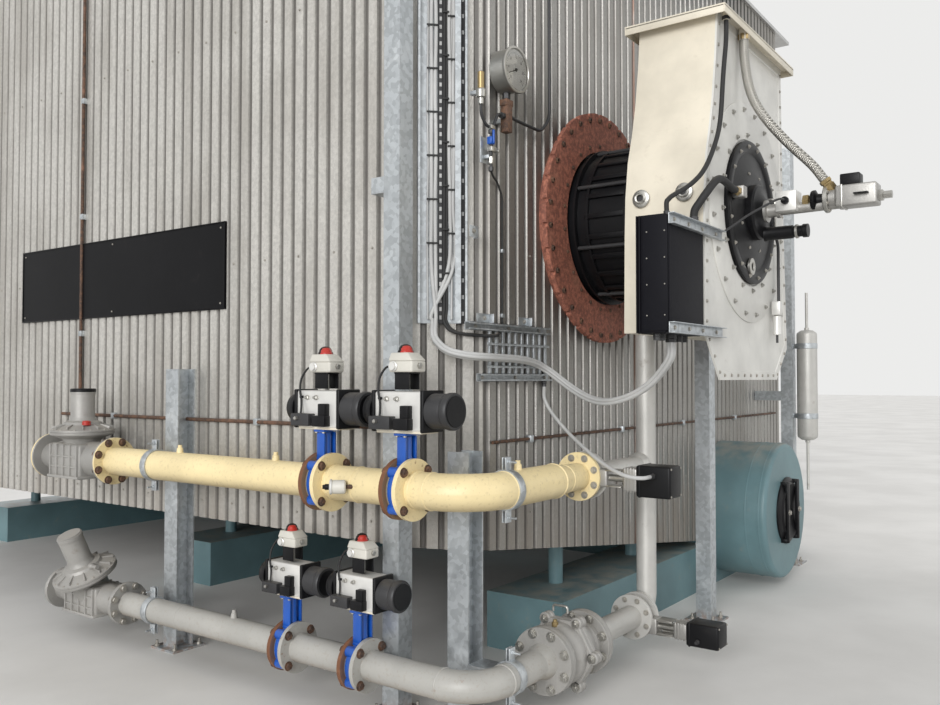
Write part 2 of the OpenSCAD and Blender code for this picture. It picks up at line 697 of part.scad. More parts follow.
module pot_post() color([0.60, 0.62, 0.62]) difference() {
    translate([pot_post[0], pot_post[1], 0]) {
        post_foot();
        translate([0, 0, foot_t]) linear_extrude(column_h - foot_t) difference() {
            square(post_a, center = true);
            square(post_a - 2 * post_t, center = true);
        }
        for (z = [1400, column_h - 300]) translate([-40, post_a / 2, z])
            cube([80, front_y - rib_depth - pot_post[1] - post_a / 2, 80]);
        for (z = [1250, 1850]) translate([-30, -post_a / 2 - 90, z]) cube([60, 90, 40]);
    }
    translate([pot_post[0], pot_post[1] - post_a / 2 - 110, 1100]) cylinder(r = pot_r + seat, h = 900);
}

module drain_pot() color([0.45, 0.44, 0.42])
    translate([pot_post[0], pot_post[1] - post_a / 2 - 110, 0]) {
        translate([0, 0, 1100]) cylinder(r = pot_r, h = 870);
        translate([0, 0, 1970]) cylinder(r = 26, h = 60);
        translate([0, 0, 2030]) cylinder(r = 12, h = 300);
        translate([0, 0, 1040]) cylinder(r = 26, h = 60);
        translate([0, 0, 640]) cylinder(r = 12, h = 400);
    }

module pipe_clamps() color([0.45, 0.47, 0.48]) {
    for (upper = [0, 1]) {
        r = upper == 1 ? upper_r : lower_r;
        z = upper == 1 ? upper_z : lower_z;
        y = upper == 1 ? upper_run_y : lower_run_y;
        difference() {
            union() {
                translate([-run_x, train_post[1] - 20, z]) rod_y(r + 8, 40);
                translate([-run_x, train_post[1] - 20, z - 25])
                    cube([run_x + train_post[0] - post_b / 2, 40, 50]);
            }
            translate([-run_x, train_post[1] - 21, z]) rod_y(r + seat, 42);
        }
        difference() {
            union() {
                translate([elbow_post[0] - 45, y, z]) rod_x(r + 8, 40);
                translate([elbow_post[0] - post_b / 2, y + r, z - 25])
                    cube([post_b, elbow_post[1] - post_b / 2 - y - r, 50]);
                translate([elbow_post[0] - 45, y, z - 25]) cube([40, r + 20, 50]);
            }
            translate([elbow_post[0] - 46, y, z]) rod_x(r + seat, 42);
        }
    }
}

// Cords

function unit(v) = v / norm(v);

function fitted(route, start, end) = let (n = len(route) - 1) [for (i = [0 : n])
    let (u = i / n, part = u * u * (3 - 2 * u))
    route[i] + (1 - part) * (start - route[0]) + part * (end - route[n])];

function tangents(p) = [for (i = [0 : len(p) - 1])
    unit(p[min(i + 1, len(p) - 1)] - p[max(i - 1, 0)])];

function carried(t, u, i = 0) = i == len(t) ? [] : let (v = unit(u - (u * t[i]) * t[i]))
    concat([v], carried(t, v, i + 1));

function tube_points(p, t, u, r, n) = [for (i = [0 : len(p) - 1], s = [0 : n - 1])
    p[i] + r * (cos(360 * s / n) * u[i] + sin(360 * s / n) * cross(t[i], u[i]))];

function tube_faces(count, n) = concat([[for (s = [0 : n - 1]) s]],
    [[for (s = [n - 1 : -1 : 0]) (count - 1) * n + s]],
    [for (i = [0 : count - 2], s = [0 : n - 1]) [i * n + s, i * n + n + s, i * n + n + (s + 1) % n]],
    [for (i = [0 : count - 2], s = [0 : n - 1]) [i * n + s, i * n + n + (s + 1) % n, i * n + (s + 1) % n]]);

module cord(route, r, n = 10) polyhedron(
    points = tube_points(route, tangents(route), carried(tangents(route), [0.8, 0.6, 0]), r, n),
    faces = tube_faces(len(route), n));

module gas_hose() color([0.55, 0.55, 0.53]) cord(fitted(gas_hose_route,
    [burner_axis_x - 150, windbox_front_y - 30, windbox_top_z - 60],
    [burner_axis_x - 23.7, windbox_front_y - 402.7, burner_z + 127.7]), 25, 12);

module valve_hose() color([0.03, 0.03, 0.03]) cord(fitted(valve_hose_route,
    [burner_axis_x - 370, windbox_front_y - 52, burner_z + 60],
    [box_x + box_w - 35, windbox_front_y + 35, box_z + box_h + 40]), 20);

module front_lead() color([0.03, 0.03, 0.03]) cord(fitted(front_lead_route,
    [burner_axis_x - windbox_top_w + 40, windbox_front_y - 30, windbox_top_z - 40],
    [box_x + 175, windbox_front_y + 80, box_z + box_h + 40]), 12, 8);

module control_bundle() color([0.45, 0.46, 0.47]) cord(fitted(control_bundle_route,
    [box_x + 215, windbox_front_y + 80, box_z - 35],
    [wall_x + corner_cut / 2 - (rib_depth + seat + 63) * sqrt(0.5),
        front_y + corner_cut / 2 + (17 - rib_depth - seat) * sqrt(0.5), tray_foot_z + 10]), 22);

module valve_lead() color([0.45, 0.46, 0.47]) cord(fitted(valve_lead_route,
    [wall_x + 845, front_y - rib_depth - seat - 15, tray_foot_z - 320],
    [upper_end_x + flange_t + wafer_t / 2 - 105, upper_run_y - 425, upper_z + 30]), 10, 8);

// Fittings

module pressure_gauge() color([0.80, 0.80, 0.78])
    translate([wall_x + 400, front_y - 100, 3170]) rotate([90, 0, 0]) {
        cylinder(r = 120, h = 50);
        translate([0, 0, -100 + rib_depth]) cylinder(r = 20, h = 100 - rib_depth);
    }

module cable_tray() color([0.70, 0.72, 0.72])
    translate([wall_x + corner_cut / 2, front_y + corner_cut / 2, tray_foot_z]) rotate(-45)
        translate([-125, -rib_depth - 50 - seat, 0]) {
            difference() {
                cube([250, 50, eave_z - tray_foot_z]);
                translate([3, -1, -1]) cube([244, 48, eave_z]);
            }
            translate([85, 27, 10]) cylinder(r = 22, h = eave_z - tray_foot_z - 40);
        }

module cable_rack() color([0.70, 0.72, 0.72])
    translate([wall_x, front_y - rib_depth - seat, tray_foot_z]) {
        translate([120, -30, -35]) cube([770, 30, 40]);
        translate([220, -30, -290]) cube([690, 30, 40]);
        for (i = [0 : 9]) translate([300 + 60 * i, -24, -251]) cube([20, 12, 217]);
        translate([845, -15, -320]) cylinder(r = 12, h = 31);
    }

module steam_nozzles() color([0.45, 0.45, 0.45]) difference() {
    for (y = nozzle_y) translate([drum_axis_x, front_y + y, steam_drum_z + steam_drum_r - 20]) {
        cylinder(r = 109, h = 240);
        translate([0, 0, 220]) flange(170, 100, 24, 12, 11);
    }
    drum_spaces();
}

module flue_outlet() color([0.60, 0.60, 0.58])
    translate([flue_x, rear_y - 1600, ridge_z + roof_t]) difference() {
        union() {
            cube([flue_w, 1100, 350]);
            translate([-50, -50, 350]) cube([flue_w + 100, 1200, 12]);
        }
        translate([10, 10, 30]) cube([flue_w - 20, 1080, 400]);
        for (x = [-25, flue_w + 25], y = [-25, 1125]) translate([x, y, 345]) cylinder(r = 7, h = 20);
    }

casing_core();
cladding_left();
cladding_front();
cladding_right();
cladding_rear();
cladding_corners();
roof();
sign_board();
steam_drum();
lower_drum();
drum_ends();
drum_manways();
saddle_beams();
stools();
throat_ring();
register_drum();
windbox_shell();
windbox_front();
windbox_rear();
windbox_flange();
burner_cover();
burner_gun();
control_box();
gas_riser();
upper_pipe();
upper_valves();
upper_actuators();
upper_regulator();
upper_control_valve();
lower_pipe();
lower_valves();
lower_actuators();
lower_regulator();
gas_filter();
lower_control_valve();
corner_post();
train_posts();
burner_post_frame();
pot_post();
drain_pot();
pipe_clamps();
pressure_gauge();
cable_tray();
cable_rack();
gas_hose();
valve_hose();
front_lead();
control_bundle();
valve_lead();
steam_nozzles();
flue_outlet();
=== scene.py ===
"""Dress an industrial boiler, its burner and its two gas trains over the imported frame."""
from math import cos, hypot, pi, radians, sin

import bmesh
import bpy
from mathutils import Matrix, Vector


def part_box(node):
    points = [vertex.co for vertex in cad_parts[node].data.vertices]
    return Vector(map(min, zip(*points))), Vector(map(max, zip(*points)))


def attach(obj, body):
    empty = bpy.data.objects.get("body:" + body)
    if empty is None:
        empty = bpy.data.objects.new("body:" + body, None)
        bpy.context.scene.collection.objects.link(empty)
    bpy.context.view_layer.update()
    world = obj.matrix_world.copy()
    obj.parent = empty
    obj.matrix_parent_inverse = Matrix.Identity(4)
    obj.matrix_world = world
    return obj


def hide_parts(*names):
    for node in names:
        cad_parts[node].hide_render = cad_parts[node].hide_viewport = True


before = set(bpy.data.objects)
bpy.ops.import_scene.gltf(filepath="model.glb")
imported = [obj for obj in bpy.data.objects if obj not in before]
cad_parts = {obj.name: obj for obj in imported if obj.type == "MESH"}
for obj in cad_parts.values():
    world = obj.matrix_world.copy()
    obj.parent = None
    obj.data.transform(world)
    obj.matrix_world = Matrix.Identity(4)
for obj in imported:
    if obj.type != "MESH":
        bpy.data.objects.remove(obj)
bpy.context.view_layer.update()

bl_info = {
    "name": "Industrial boiler",
    "version": (1, 0, 0),
    "blender": (4, 5, 0),
    "location": "View3D > Sidebar > Boiler",
    "description": "Adds the fittings and finishes of a boiler over its packed frame",
    "category": "Add Mesh",
}

# Places in metres, as the part's source has them. First the faces of the two walls that show, then the ribs of
# their sheet: the pitch, where each wall's row starts, and how far a crest stands out. The casing's middle and
# half sizes follow.
WALL, FRONT = 0.100, -0.220
PITCH, SIDE_RIB, FRONT_RIB, CORNER_RIB, CREST = 0.09, 0.11, 0.42, 0.032, 0.0182
CASING_MID, CASING_HALF = (2.85, 3.08), (2.75, 3.30)
# The gas pipes: the run along the left wall, each pipe's height, its run along the front, its radius and valves.
RUN_X = -0.145
UPPER_Z, LOWER_Z = 1.090, 0.250
UPPER_RUN, LOWER_RUN = -0.560, -0.580
UPPER_R, LOWER_R = 0.0841, 0.0698
UPPER_VALVES, LOWER_VALVES = (-0.181, 0.334), (0.089, 0.569)
# The actuators' seats above the pipes' axes, the burner, the drums, the thickness of a post's foot, the leg
# of the corner's cut, the control box's two corners, and how far the bundle's leads lie from its own line.
SEAT = 0.257
BURNER = Vector((1.550, -1.200, 2.500))
DRUM_X, DRUM_Z = 3.740, 0.575
FOOT, CORNER_CUT = 0.012, 0.300
BOX = (0.445, -1.200, 1.800), (0.875, -1.040, 2.340)
BUNDLE_SPREAD = 0.0112
# The signs of a rectangle's four corners.
CORNERS = ((-1, -1), (-1, 1), (1, -1), (1, 1))
# Height above the windbox's foot and distance from the burner's axis, along its two sides.
WINDBOX_LEFT = ((0, 0.460), (0.239, 0.665), (0.733, 0.655), (0.940, 0.645), (1.128, 0.615), (1.278, 0.565),
                (1.429, 0.525), (1.654, 0.485), (1.880, 0.460))
WINDBOX_RIGHT = ((0, 0.470), (0.188, 0.675), (0.733, 0.640), (1.128, 0.620), (1.504, 0.608), (1.880, 0.600))
# The cords' routes, from the fitting each leaves to the one it enters.
ROUTES = {
    "gas_hose": [(1.4, -1.23, 3.407), (1.4, -1.23, 3.346), (1.395, -1.235, 3.298), (1.383, -1.248, 3.216),
        (1.374, -1.262, 3.151), (1.371, -1.277, 3.1), (1.372, -1.294, 3.056), (1.378, -1.315, 3.013),
        (1.389, -1.343, 2.965), (1.408, -1.381, 2.91), (1.436, -1.432, 2.843), (1.462, -1.48, 2.787),
        (1.492, -1.534, 2.727), (1.5081, -1.5649, 2.6874), (1.5263, -1.6027, 2.6277)],
    "valve_hose": [(1.18, -1.252, 2.56), (1.136, -1.252, 2.56), (1.094, -1.253, 2.566), (1.044, -1.253, 2.574),
        (1.003, -1.253, 2.578), (0.969, -1.252, 2.577), (0.942, -1.25, 2.571), (0.92, -1.248, 2.561),
        (0.899, -1.243, 2.545), (0.88, -1.236, 2.525), (0.864, -1.226, 2.502), (0.853, -1.212, 2.478),
        (0.845, -1.194, 2.449), (0.841, -1.175, 2.422), (0.84, -1.1681, 2.4058), (0.84, -1.165, 2.38)],
    "front_lead": [(1.13, -1.23, 3.427), (1.13, -1.23, 3.366), (1.099, -1.238, 3.289), (1.06, -1.243, 3.183),
        (1.032, -1.245, 3.075), (1.007, -1.246, 2.945), (0.982, -1.245, 2.849), (0.946, -1.242, 2.772),
        (0.888, -1.238, 2.687), (0.819, -1.232, 2.607), (0.767, -1.216, 2.552), (0.714, -1.183, 2.502),
        (0.65, -1.138, 2.456), (0.63, -1.126, 2.437), (0.62, -1.12, 2.421), (0.62, -1.12, 2.38)],
    "control_bundle": [(0.66, -1.12, 1.765), (0.66, -1.12, 1.704), (0.683, -1.075, 1.645),
        (0.724, -0.99, 1.574), (0.768, -0.886, 1.52), (0.812, -0.768, 1.485), (0.852, -0.66, 1.475),
        (0.886, -0.558, 1.493), (0.91, -0.461, 1.534), (0.908, -0.39, 1.58), (0.88, -0.338, 1.626),
        (0.836, -0.309, 1.657), (0.758, -0.298, 1.681), (0.619, -0.296, 1.695), (0.457, -0.296, 1.699),
        (0.324, -0.294, 1.701), (0.257, -0.273, 1.704), (0.208, -0.228, 1.712), (0.184, -0.17, 1.729),
        (0.181, -0.116, 1.761), (0.1925, -0.071, 1.809), (0.1925, -0.071, 1.88)],
    "valve_lead": [(0.945, -0.253, 1.55), (0.945, -0.253, 1.493), (0.947, -0.269, 1.452),
        (0.944, -0.296, 1.414), (0.932, -0.339, 1.374), (0.906, -0.398, 1.331), (0.869, -0.468, 1.289),
        (0.827, -0.541, 1.252), (0.778, -0.62, 1.217), (0.727, -0.704, 1.183), (0.684, -0.781, 1.156),
        (0.649, -0.855, 1.135), (0.636, -0.902, 1.126), (0.637, -0.936, 1.121), (0.647, -0.96, 1.119),
        (0.662, -0.977, 1.119), (0.679, -0.985, 1.12), (0.715, -0.985, 1.12)],
}
TURNS = {"X": Matrix.Rotation(pi / 2, 4, "Y"), "Y": Matrix.Rotation(-pi / 2, 4, "X"),
         "-Y": Matrix.Rotation(pi / 2, 4, "X"), "-X": Matrix.Rotation(-pi / 2, 4, "Y"),
         "Z": Matrix.Identity(4), "-Z": Matrix.Rotation(pi, 4, "X")}


# Shader maths

class Term:
    """A shader socket that can be added, multiplied and compared as a number."""

    def __init__(self, look, socket):
        self.look = look
        self.socket = socket

    def math(self, operation, *others):
        return self.look.node("ShaderNodeMath", {"operation": operation}, dict(enumerate((self, *others))))

    def __add__(self, other):
        return self.math("ADD", other)

    def __mul__(self, other):
        return self.math("MULTIPLY", other)

    def __sub__(self, other):
        return self.math("SUBTRACT", other)

    def __truediv__(self, other):
        return self.math("DIVIDE", other)

    def __rsub__(self, other):
        return (self * -1.0).math("ADD", other)

    __radd__ = __add__
    __rmul__ = __mul__

    def over(self, low, high):
        """Rise from 0 to 1 between two values."""
        return self.look.node("ShaderNodeMapRange", {"interpolation_type": "SMOOTHSTEP"},
                              {"Value": self, "From Min": low, "From Max": high})


class Look:
    """A material on a Principled shader, with one method that adds any node."""

    def __init__(self, name, **fixed):
        self.material = bpy.data.materials.new(name)
        self.material.use_nodes = True
        self.tree = self.material.node_tree
        self.tree.nodes.clear()
        self.shader = self.tree.nodes.new("ShaderNodeBsdfPrincipled")
        out = self.tree.nodes.new("ShaderNodeOutputMaterial")
        self.tree.links.new(self.shader.outputs[0], out.inputs[0])
        for socket, value in fixed.items():
            self.shader.inputs[socket.replace("_", " ")].default_value = value
        self.place = self.node("ShaderNodeTexCoord", out="Object")

    def node(self, kind, settings=(), inputs=(), out=0):
        made = self.tree.nodes.new(kind)
        for key, value in dict(settings).items():
            if key == "stops":
                for stop, (at, colour) in zip(made.color_ramp.elements, value):
                    stop.position, stop.color = at, colour
            else:
                setattr(made, key, value)
        for key, value in dict(inputs).items():
            if isinstance(value, Term):
                self.tree.links.new(value.socket, made.inputs[key])
            else:
                made.inputs[key].default_value = value
        return Term(self, made.outputs[out])

    def split(self, vector):
        """A vector's three parts."""
        parts = self.node("ShaderNodeSeparateXYZ", {}, {0: vector}).socket.node
        return [Term(self, parts.outputs[i]) for i in range(3)]

    def upward(self):
        """How far the surface faces up, from -1 to 1."""
        return self.split(self.node("ShaderNodeNewGeometry", out="Normal"))[2]

    def stretched(self, stretch=(1, 1, 1)):
        """The place on the boiler, stretched along each axis."""
        return self.node("ShaderNodeMapping", {}, {"Vector": self.place, "Scale": stretch})

    def noise(self, scale, detail=3.0, stretch=(1, 1, 1), rough=0.55):
        return self.node("ShaderNodeTexNoise", {}, {"Vector": self.stretched(stretch), "Scale": scale,
                                                    "Detail": detail, "Roughness": rough})

    def cells(self, scale, out="Color"):
        return self.node("ShaderNodeTexVoronoi", {}, {"Vector": self.stretched(), "Scale": scale}, out)

    def mix(self, share, low, high):
        return self.node("ShaderNodeMix", {"data_type": "RGBA"}, {0: share, 6: low, 7: high}, 2)

    def bump(self, height, distance, strength=1.0):
        return self.node("ShaderNodeBump", {}, {"Height": height, "Distance": distance,
                                                "Strength": strength})

    def feed(self, **sockets):
        for socket, value in sockets.items():
            self.tree.links.new(value.socket, self.shader.inputs[socket.replace("_", " ")])
        return self.material


def rgb(colour, share=1.0):
    """A colour socket's value: the colour, or a share of it."""
    return (*(min(c * share, 1.0) for c in colour), 1.0)


def paint(name, colour, stain=(0.11, 0.06, 0.035), stained=0.35, rough=0.45, metal=0.0, dust=0.25,
          relief=0.0002, grain=700.0, coat=0.0, shine=0.5):
    """Paint or bare metal with clouds, stains, upward dust and a fine grain."""
    look = Look(name, Coat_Weight=coat, Coat_Roughness=0.25, Specular_IOR_Level=shine)
    cloud = look.noise(3.0, 6.0)
    patch = look.noise(17.0, 8.0, rough=0.7)
    fine = look.noise(grain, 2.0)
    spots = (patch * 0.7 + cloud * 0.3).over(0.56, 0.72) * stained
    up = look.upward().over(0.55, 0.98) * (look.noise(9.0, 5.0).over(0.25, 0.7) * dust)
    tone = look.mix(cloud.over(0.3, 0.75), rgb(colour, 0.84), rgb(colour, 1.07))
    tone = look.mix(spots, tone, rgb(stain))
    tone = look.mix(up, tone, rgb((0.42, 0.37, 0.30)))
    gloss = fine * 0.10 + spots * 0.30 + up * 0.30 + (rough - 0.05)
    sockets = {"Base_Color": tone, "Roughness": gloss,
               "Normal": look.bump(fine * 0.5 + patch * 1.5, relief * 2.0)}
    if metal:
        sockets["Metallic"] = (1.0 - spots) * (1.0 - up) * metal
    return look.feed(**sockets)


def ribbed_sheet(name, run, colour):
    """Stucco-embossed sheet: painted shade in the grooves between ribs, long streaks and, in front, a rusty rib."""
    look = Look(name)
    x, y, z = look.split(look.place)
    if run == "X":
        phase = (x - FRONT_RIB) / PITCH
    elif run == "Y":
        phase = (y - SIDE_RIB) / PITCH
    else:
        side, end = (half - (axis - mid).math("ABSOLUTE") for half, axis, mid in zip(CASING_HALF, (x, y), CASING_MID))
        phase = ((side - end + CORNER_CUT) / 2 ** 0.5 - CORNER_RIB) / PITCH
    away = (phase.math("FRACT") - 0.5).math("ABSOLUTE")
    # Mask of the painted shade in the grooves between the ribs.
    groove_shade = away.over(0.30, 0.40)
    stucco = look.cells(150.0, "Distance")
    mottle = look.noise(55.0, 4.0, rough=0.7)
    cloud = look.noise(1.1, 5.0)
    streak = look.noise(7.0, 5.0, (1, 1, 0.06), 0.6)
    dull = (cloud * 0.5 + streak * 0.5).over(0.42, 0.62)
    low = z.over(1.25, 0.55) * look.noise(6.0, 5.0, (1, 1, 0.3)).over(0.3, 0.65)
    tone = look.mix(mottle.over(0.32, 0.68), rgb(colour, 0.80), rgb(colour))
    tone = look.mix(dull * 0.50, tone, rgb((0.30, 0.28, 0.25)))
    tone = look.mix(low * 0.55, tone, rgb((0.26, 0.22, 0.18)))
    if run == "X":
        rusty = (x - 2.13).math("ABSOLUTE").over(0.030, 0.012)
        rusty *= look.noise(12.0, 6.0, (1, 1, 0.2)).over(0.3, 0.6)
        tone = look.mix(rusty * 0.8, tone, rgb((0.20, 0.085, 0.045)))
    # Painted shade: the grooves are darkened to near-black, and the metal share drops there too.
    tone = look.mix(groove_shade * 0.78, tone, rgb((0.075, 0.068, 0.062)))
    return look.feed(Base_Color=tone, Roughness=mottle * 0.22 + dull * 0.12 + low * 0.2 + 0.30,
                     Metallic=(1.0 - groove_shade * 0.8) * (1.0 - low * 0.4) * 0.86,
                     Normal=look.bump(stucco * -1.0 + mottle * 0.8, 0.0012, 0.7))


def galvanised(name, colour):
    """Hot-dip zinc with its spangle, white bloom and a little rust at the feet."""
    look = Look(name)
    z = look.split(look.place)[2]
    spangle = look.cells(45.0)
    fine = look.noise(240.0, 3.0)
    bloom = look.noise(5.0, 7.0, rough=0.7).over(0.5, 0.75)
    foot = z.over(0.10, 0.01) * look.noise(30.0, 5.0).over(0.4, 0.6)
    tone = look.mix(spangle.over(0.2, 0.8), rgb(colour, 0.78), rgb(colour))
    tone = look.mix(bloom * 0.45, tone, rgb((0.62, 0.64, 0.64)))
    tone = look.mix(foot * 0.7, tone, rgb((0.20, 0.11, 0.06)))
    return look.feed(Base_Color=tone, Roughness=fine * 0.2 + bloom * 0.25 + 0.33,
                     Metallic=(1.0 - bloom * 0.5) * (1.0 - foot) * 0.8, Normal=look.bump(fine, 0.0003))


def rust(name, colour, dark):
    """Oxide in two colours, flaked and matt."""
    look = Look(name)
    flakes = look.noise(38.0, 9.0, rough=0.75)
    cloud = look.noise(5.0, 5.0)
    fine = look.noise(300.0, 3.0)
    tone = look.mix(flakes.over(0.4, 0.65), rgb(dark), rgb(colour))
    tone = look.mix(cloud.over(0.55, 0.75) * 0.5, tone, rgb((0.33, 0.17, 0.11)))
    return look.feed(Base_Color=tone, Roughness=fine * 0.2 + flakes * 0.15 + 0.55,
                     Normal=look.bump(flakes * 1.5 + fine * 0.3, 0.0012))


def braid(name, colour):
    """Woven wire: two crossing sets of diagonal strands."""
    look = Look(name, Metallic=0.85)
    strands = [look.node("ShaderNodeTexWave", {"bands_direction": "DIAGONAL"},
                         {"Vector": look.stretched(way), "Scale": 62.0}) for way in ((1, 1, 1), (-1, -1, 1))]
    weave = strands[0] * strands[1]
    tone = look.mix(weave.over(0.1, 0.55), rgb(colour, 0.22), rgb(colour))
    return look.feed(Base_Color=tone, Roughness=weave * -0.15 + 0.42, Normal=look.bump(weave, 0.0015))


def piped(name, colour, upper):
    """Pipe paint that has rusted on the flange rims and round the welds."""
    look = Look(name)
    x, y, z = look.split(look.place)
    level, run = (UPPER_Z, UPPER_RUN) if upper else (LOWER_Z, LOWER_RUN)
    lift = (z - level) * (z - level)
    side = ((x - RUN_X) * (x - RUN_X) + lift).math("SQRT")
    front = ((y - run) * (y - run) + lift).math("SQRT")
    near, far = [(y - (valve + 0.039)).math("ABSOLUTE").over(0.014, 0.010)
                 for valve in (UPPER_VALVES if upper else LOWER_VALVES)]
    rim_r = 0.1405 if upper else 0.1235
    rim = side.over(rim_r - 0.030, rim_r - 0.024) * (near + far)
    patch = look.noise(22.0, 8.0, rough=0.72)
    cloud = look.noise(3.5, 6.0)
    fine = look.noise(500.0, 2.0)
    off_pipe = side.math("MINIMUM", front).over(0.088, 0.12)
    worn = patch.over(0.60, 0.68) * (off_pipe * 0.7 + 0.25) + patch.over(0.70, 0.74) * 0.5
    worn = worn.math("MINIMUM", 1.0).math("MAXIMUM", rim * patch.over(0.15, 0.35))
    tone = look.mix(cloud.over(0.3, 0.7), rgb(colour, 0.86), rgb(colour))
    # Painted shade darkens the downward faces; real grime adds small brown spots.
    underside_shade_and_grime = look.upward().over(-0.2, -0.9) * 0.35 + look.noise(60.0, 6.0).over(0.56, 0.66) * 0.16
    tone = look.mix(underside_shade_and_grime, tone, rgb((0.24, 0.17, 0.10)))
    bare = look.mix(patch.over(0.5, 0.8), rgb((0.16, 0.065, 0.03)), rgb((0.27, 0.13, 0.06)))
    tone = look.mix(worn, tone, bare)
    return look.feed(Base_Color=tone, Roughness=worn * 0.35 + fine * 0.08 + 0.36,
                     Normal=look.bump(patch * 1.2 + fine * 0.3, 0.0007))


def make_looks(colours):
    """Every finish of the boiler, by name."""
    c = {key: tuple(getattr(colours, key)) for key in colours.__annotations__}
    looks = {
        # Painted shade: the front and corner walls take the side wall's sheet colour darkened to 0.55 and 0.75, as
        # shaded copies of one sheet.
        "sheet_x": ribbed_sheet("front_sheet", "X", [q * 0.55 for q in c["sheet"]]),
        "sheet_y": ribbed_sheet("side_sheet", "Y", c["sheet"]),
        "sheet_corner": ribbed_sheet("corner_sheet", "corner", [q * 0.75 for q in c["sheet"]]),
        "zinc": galvanised("zinc", c["zinc"]),
        "upper_paint": piped("upper_pipe_paint", c["upper_pipe"], True),
        "lower_paint": piped("lower_pipe_paint", c["lower_pipe"], False),
        "rust": rust("red_oxide", (0.44, 0.165, 0.105), (0.19, 0.070, 0.048)),
        "rusty_steel": rust("rusty_steel", (0.155, 0.080, 0.045), (0.050, 0.030, 0.022)),
        "braid": braid("wire_braid", (0.84, 0.81, 0.74)),
        "blue": paint("blue_enamel", c["valve"], rough=0.30, stained=0.25, dust=0.2, coat=0.3),
        "teal": paint("teal_paint", c["drum"], (0.30, 0.27, 0.22), 0.4, 0.42, dust=0.55, relief=0.0004),
        "cream": paint("cream_paint", c["windbox"], (0.30, 0.25, 0.17), 0.22, 0.40, dust=0.3),
        "grey_front": paint("front_plate_paint", c["front_plate"], (0.24, 0.21, 0.17), 0.25, 0.42),
        "board": paint("board_paint", (0.006, 0.006, 0.007), (0.035, 0.03, 0.028), 0.4, 0.40, dust=0.1, shine=0.10),
        "black": paint("black_paint", (0.007, 0.007, 0.008), (0.04, 0.035, 0.03), 0.25, 0.38, dust=0.07, shine=0.2),
        "box": paint("box_paint", (0.007, 0.007, 0.010), (0.03, 0.03, 0.03), 0.2, 0.55, dust=0.06, relief=0.0005,
                     shine=0.12),
        "rubber": paint("black_rubber", (0.018, 0.018, 0.018), (0.10, 0.09, 0.08), 0.3, 0.7, dust=0.35),
        "cable": paint("grey_cable", (0.50, 0.50, 0.49), (0.12, 0.11, 0.09), 0.2, 0.55, dust=0.1),
        "casting": paint("grey_casting", c["casting"], (0.17, 0.12, 0.08), 0.45, 0.46, 0.25, 0.35, 0.0010, 130.0),
        "alloy": paint("cast_alloy", (0.40, 0.39, 0.37), (0.18, 0.15, 0.12), 0.35, 0.42, 0.7, 0.25, 0.0005, 260.0),
        "white": paint("white_housing", (0.72, 0.71, 0.68), (0.30, 0.26, 0.20), 0.2, 0.34, 0.35, 0.2),
        "beige": paint("beige_plastic", (0.60, 0.58, 0.52), (0.25, 0.20, 0.14), 0.2, 0.45),
        "red": paint("red_dome", (0.45, 0.030, 0.020), rough=0.28, stained=0.1, dust=0.1),
        "steel": paint("bright_steel", (0.46, 0.45, 0.42), (0.20, 0.14, 0.10), 0.3, 0.32, 0.9, 0.2),
        "bolt": paint("zinc_bolt", (0.42, 0.40, 0.36), (0.17, 0.08, 0.04), 0.6, 0.42, 0.7, 0.2, 0.0003, 300.0),
        "dark": paint("dark_steel", (0.045, 0.045, 0.047), (0.07, 0.045, 0.03), 0.3, 0.45, 0.3, 0.15, shine=0.4),
        "silver": paint("silver_pipe_paint", (0.56, 0.55, 0.52), (0.14, 0.09, 0.06), 0.4, 0.42, 0.35, 0.2, 0.0006),
        "dial": paint("dial_face", (0.82, 0.81, 0.76), (0.5, 0.42, 0.3), 0.15, 0.5, dust=0.0),
        "ink": paint("dial_ink", (0.02, 0.02, 0.02), stained=0.0, rough=0.5, dust=0.0),
        "brass": paint("brass", (0.40, 0.30, 0.15), (0.13, 0.09, 0.05), 0.35, 0.42, 0.85, 0.15),
        "roof": paint("plain_sheet", (0.58, 0.58, 0.57), (0.28, 0.26, 0.23), 0.35, 0.40, 0.75, 0.4),
    }
    glass = Look("gauge_glass", Transmission_Weight=1.0, IOR=1.45, Coat_Weight=0.0)
    looks["glass"] = glass.feed(Roughness=glass.noise(40.0).over(0.5, 0.8) * 0.08)
    return looks


# Modelling

def clear():
    if bpy.context.object and bpy.context.object.mode != "OBJECT":
        bpy.ops.object.mode_set(mode="OBJECT")
    bpy.ops.object.select_all(action="DESELECT")


def only(thing):
    clear()
    thing.select_set(True)
    bpy.context.view_layer.objects.active = thing
    return thing


def apply(thing):
    only(thing)
    bpy.ops.object.transform_apply(location=True, rotation=True, scale=True)
    return thing


def edit(thing, choose=None):
    """Enter edit mode with all selected, or with only the faces that choose(middle, normal) picks."""
    only(thing)
    bpy.ops.object.mode_set(mode="EDIT")
    if choose is None:
        bpy.ops.mesh.select_all(action="SELECT")
        return
    bpy.ops.mesh.select_all(action="DESELECT")
    bpy.ops.mesh.select_mode(type="FACE")
    mesh = bmesh.from_edit_mesh(thing.data)
    for face in mesh.faces:
        face.select_set(bool(choose(face.calc_center_median(), face.normal)))
    bmesh.update_edit_mesh(thing.data)


def smooth(thing, angle=35):
    only(thing)
    bpy.ops.object.shade_smooth_by_angle(angle=radians(angle))
    return thing


def placed(at, axis):
    """The matrix that moves to a point and turns to an axis, which is a name or a matrix."""
    return Matrix.Translation(Vector(at)) @ (TURNS[axis] if isinstance(axis, str) else axis)


def stand(thing, at, axis="Z"):
    """Place a thing made at the origin, for good."""
    thing.matrix_world = placed(at, axis)
    return apply(thing)


def towards(*way):
    """The turn that leads the Z axis along a way."""
    return Vector(way).to_track_quat("Z", "Y").to_matrix().to_4x4()


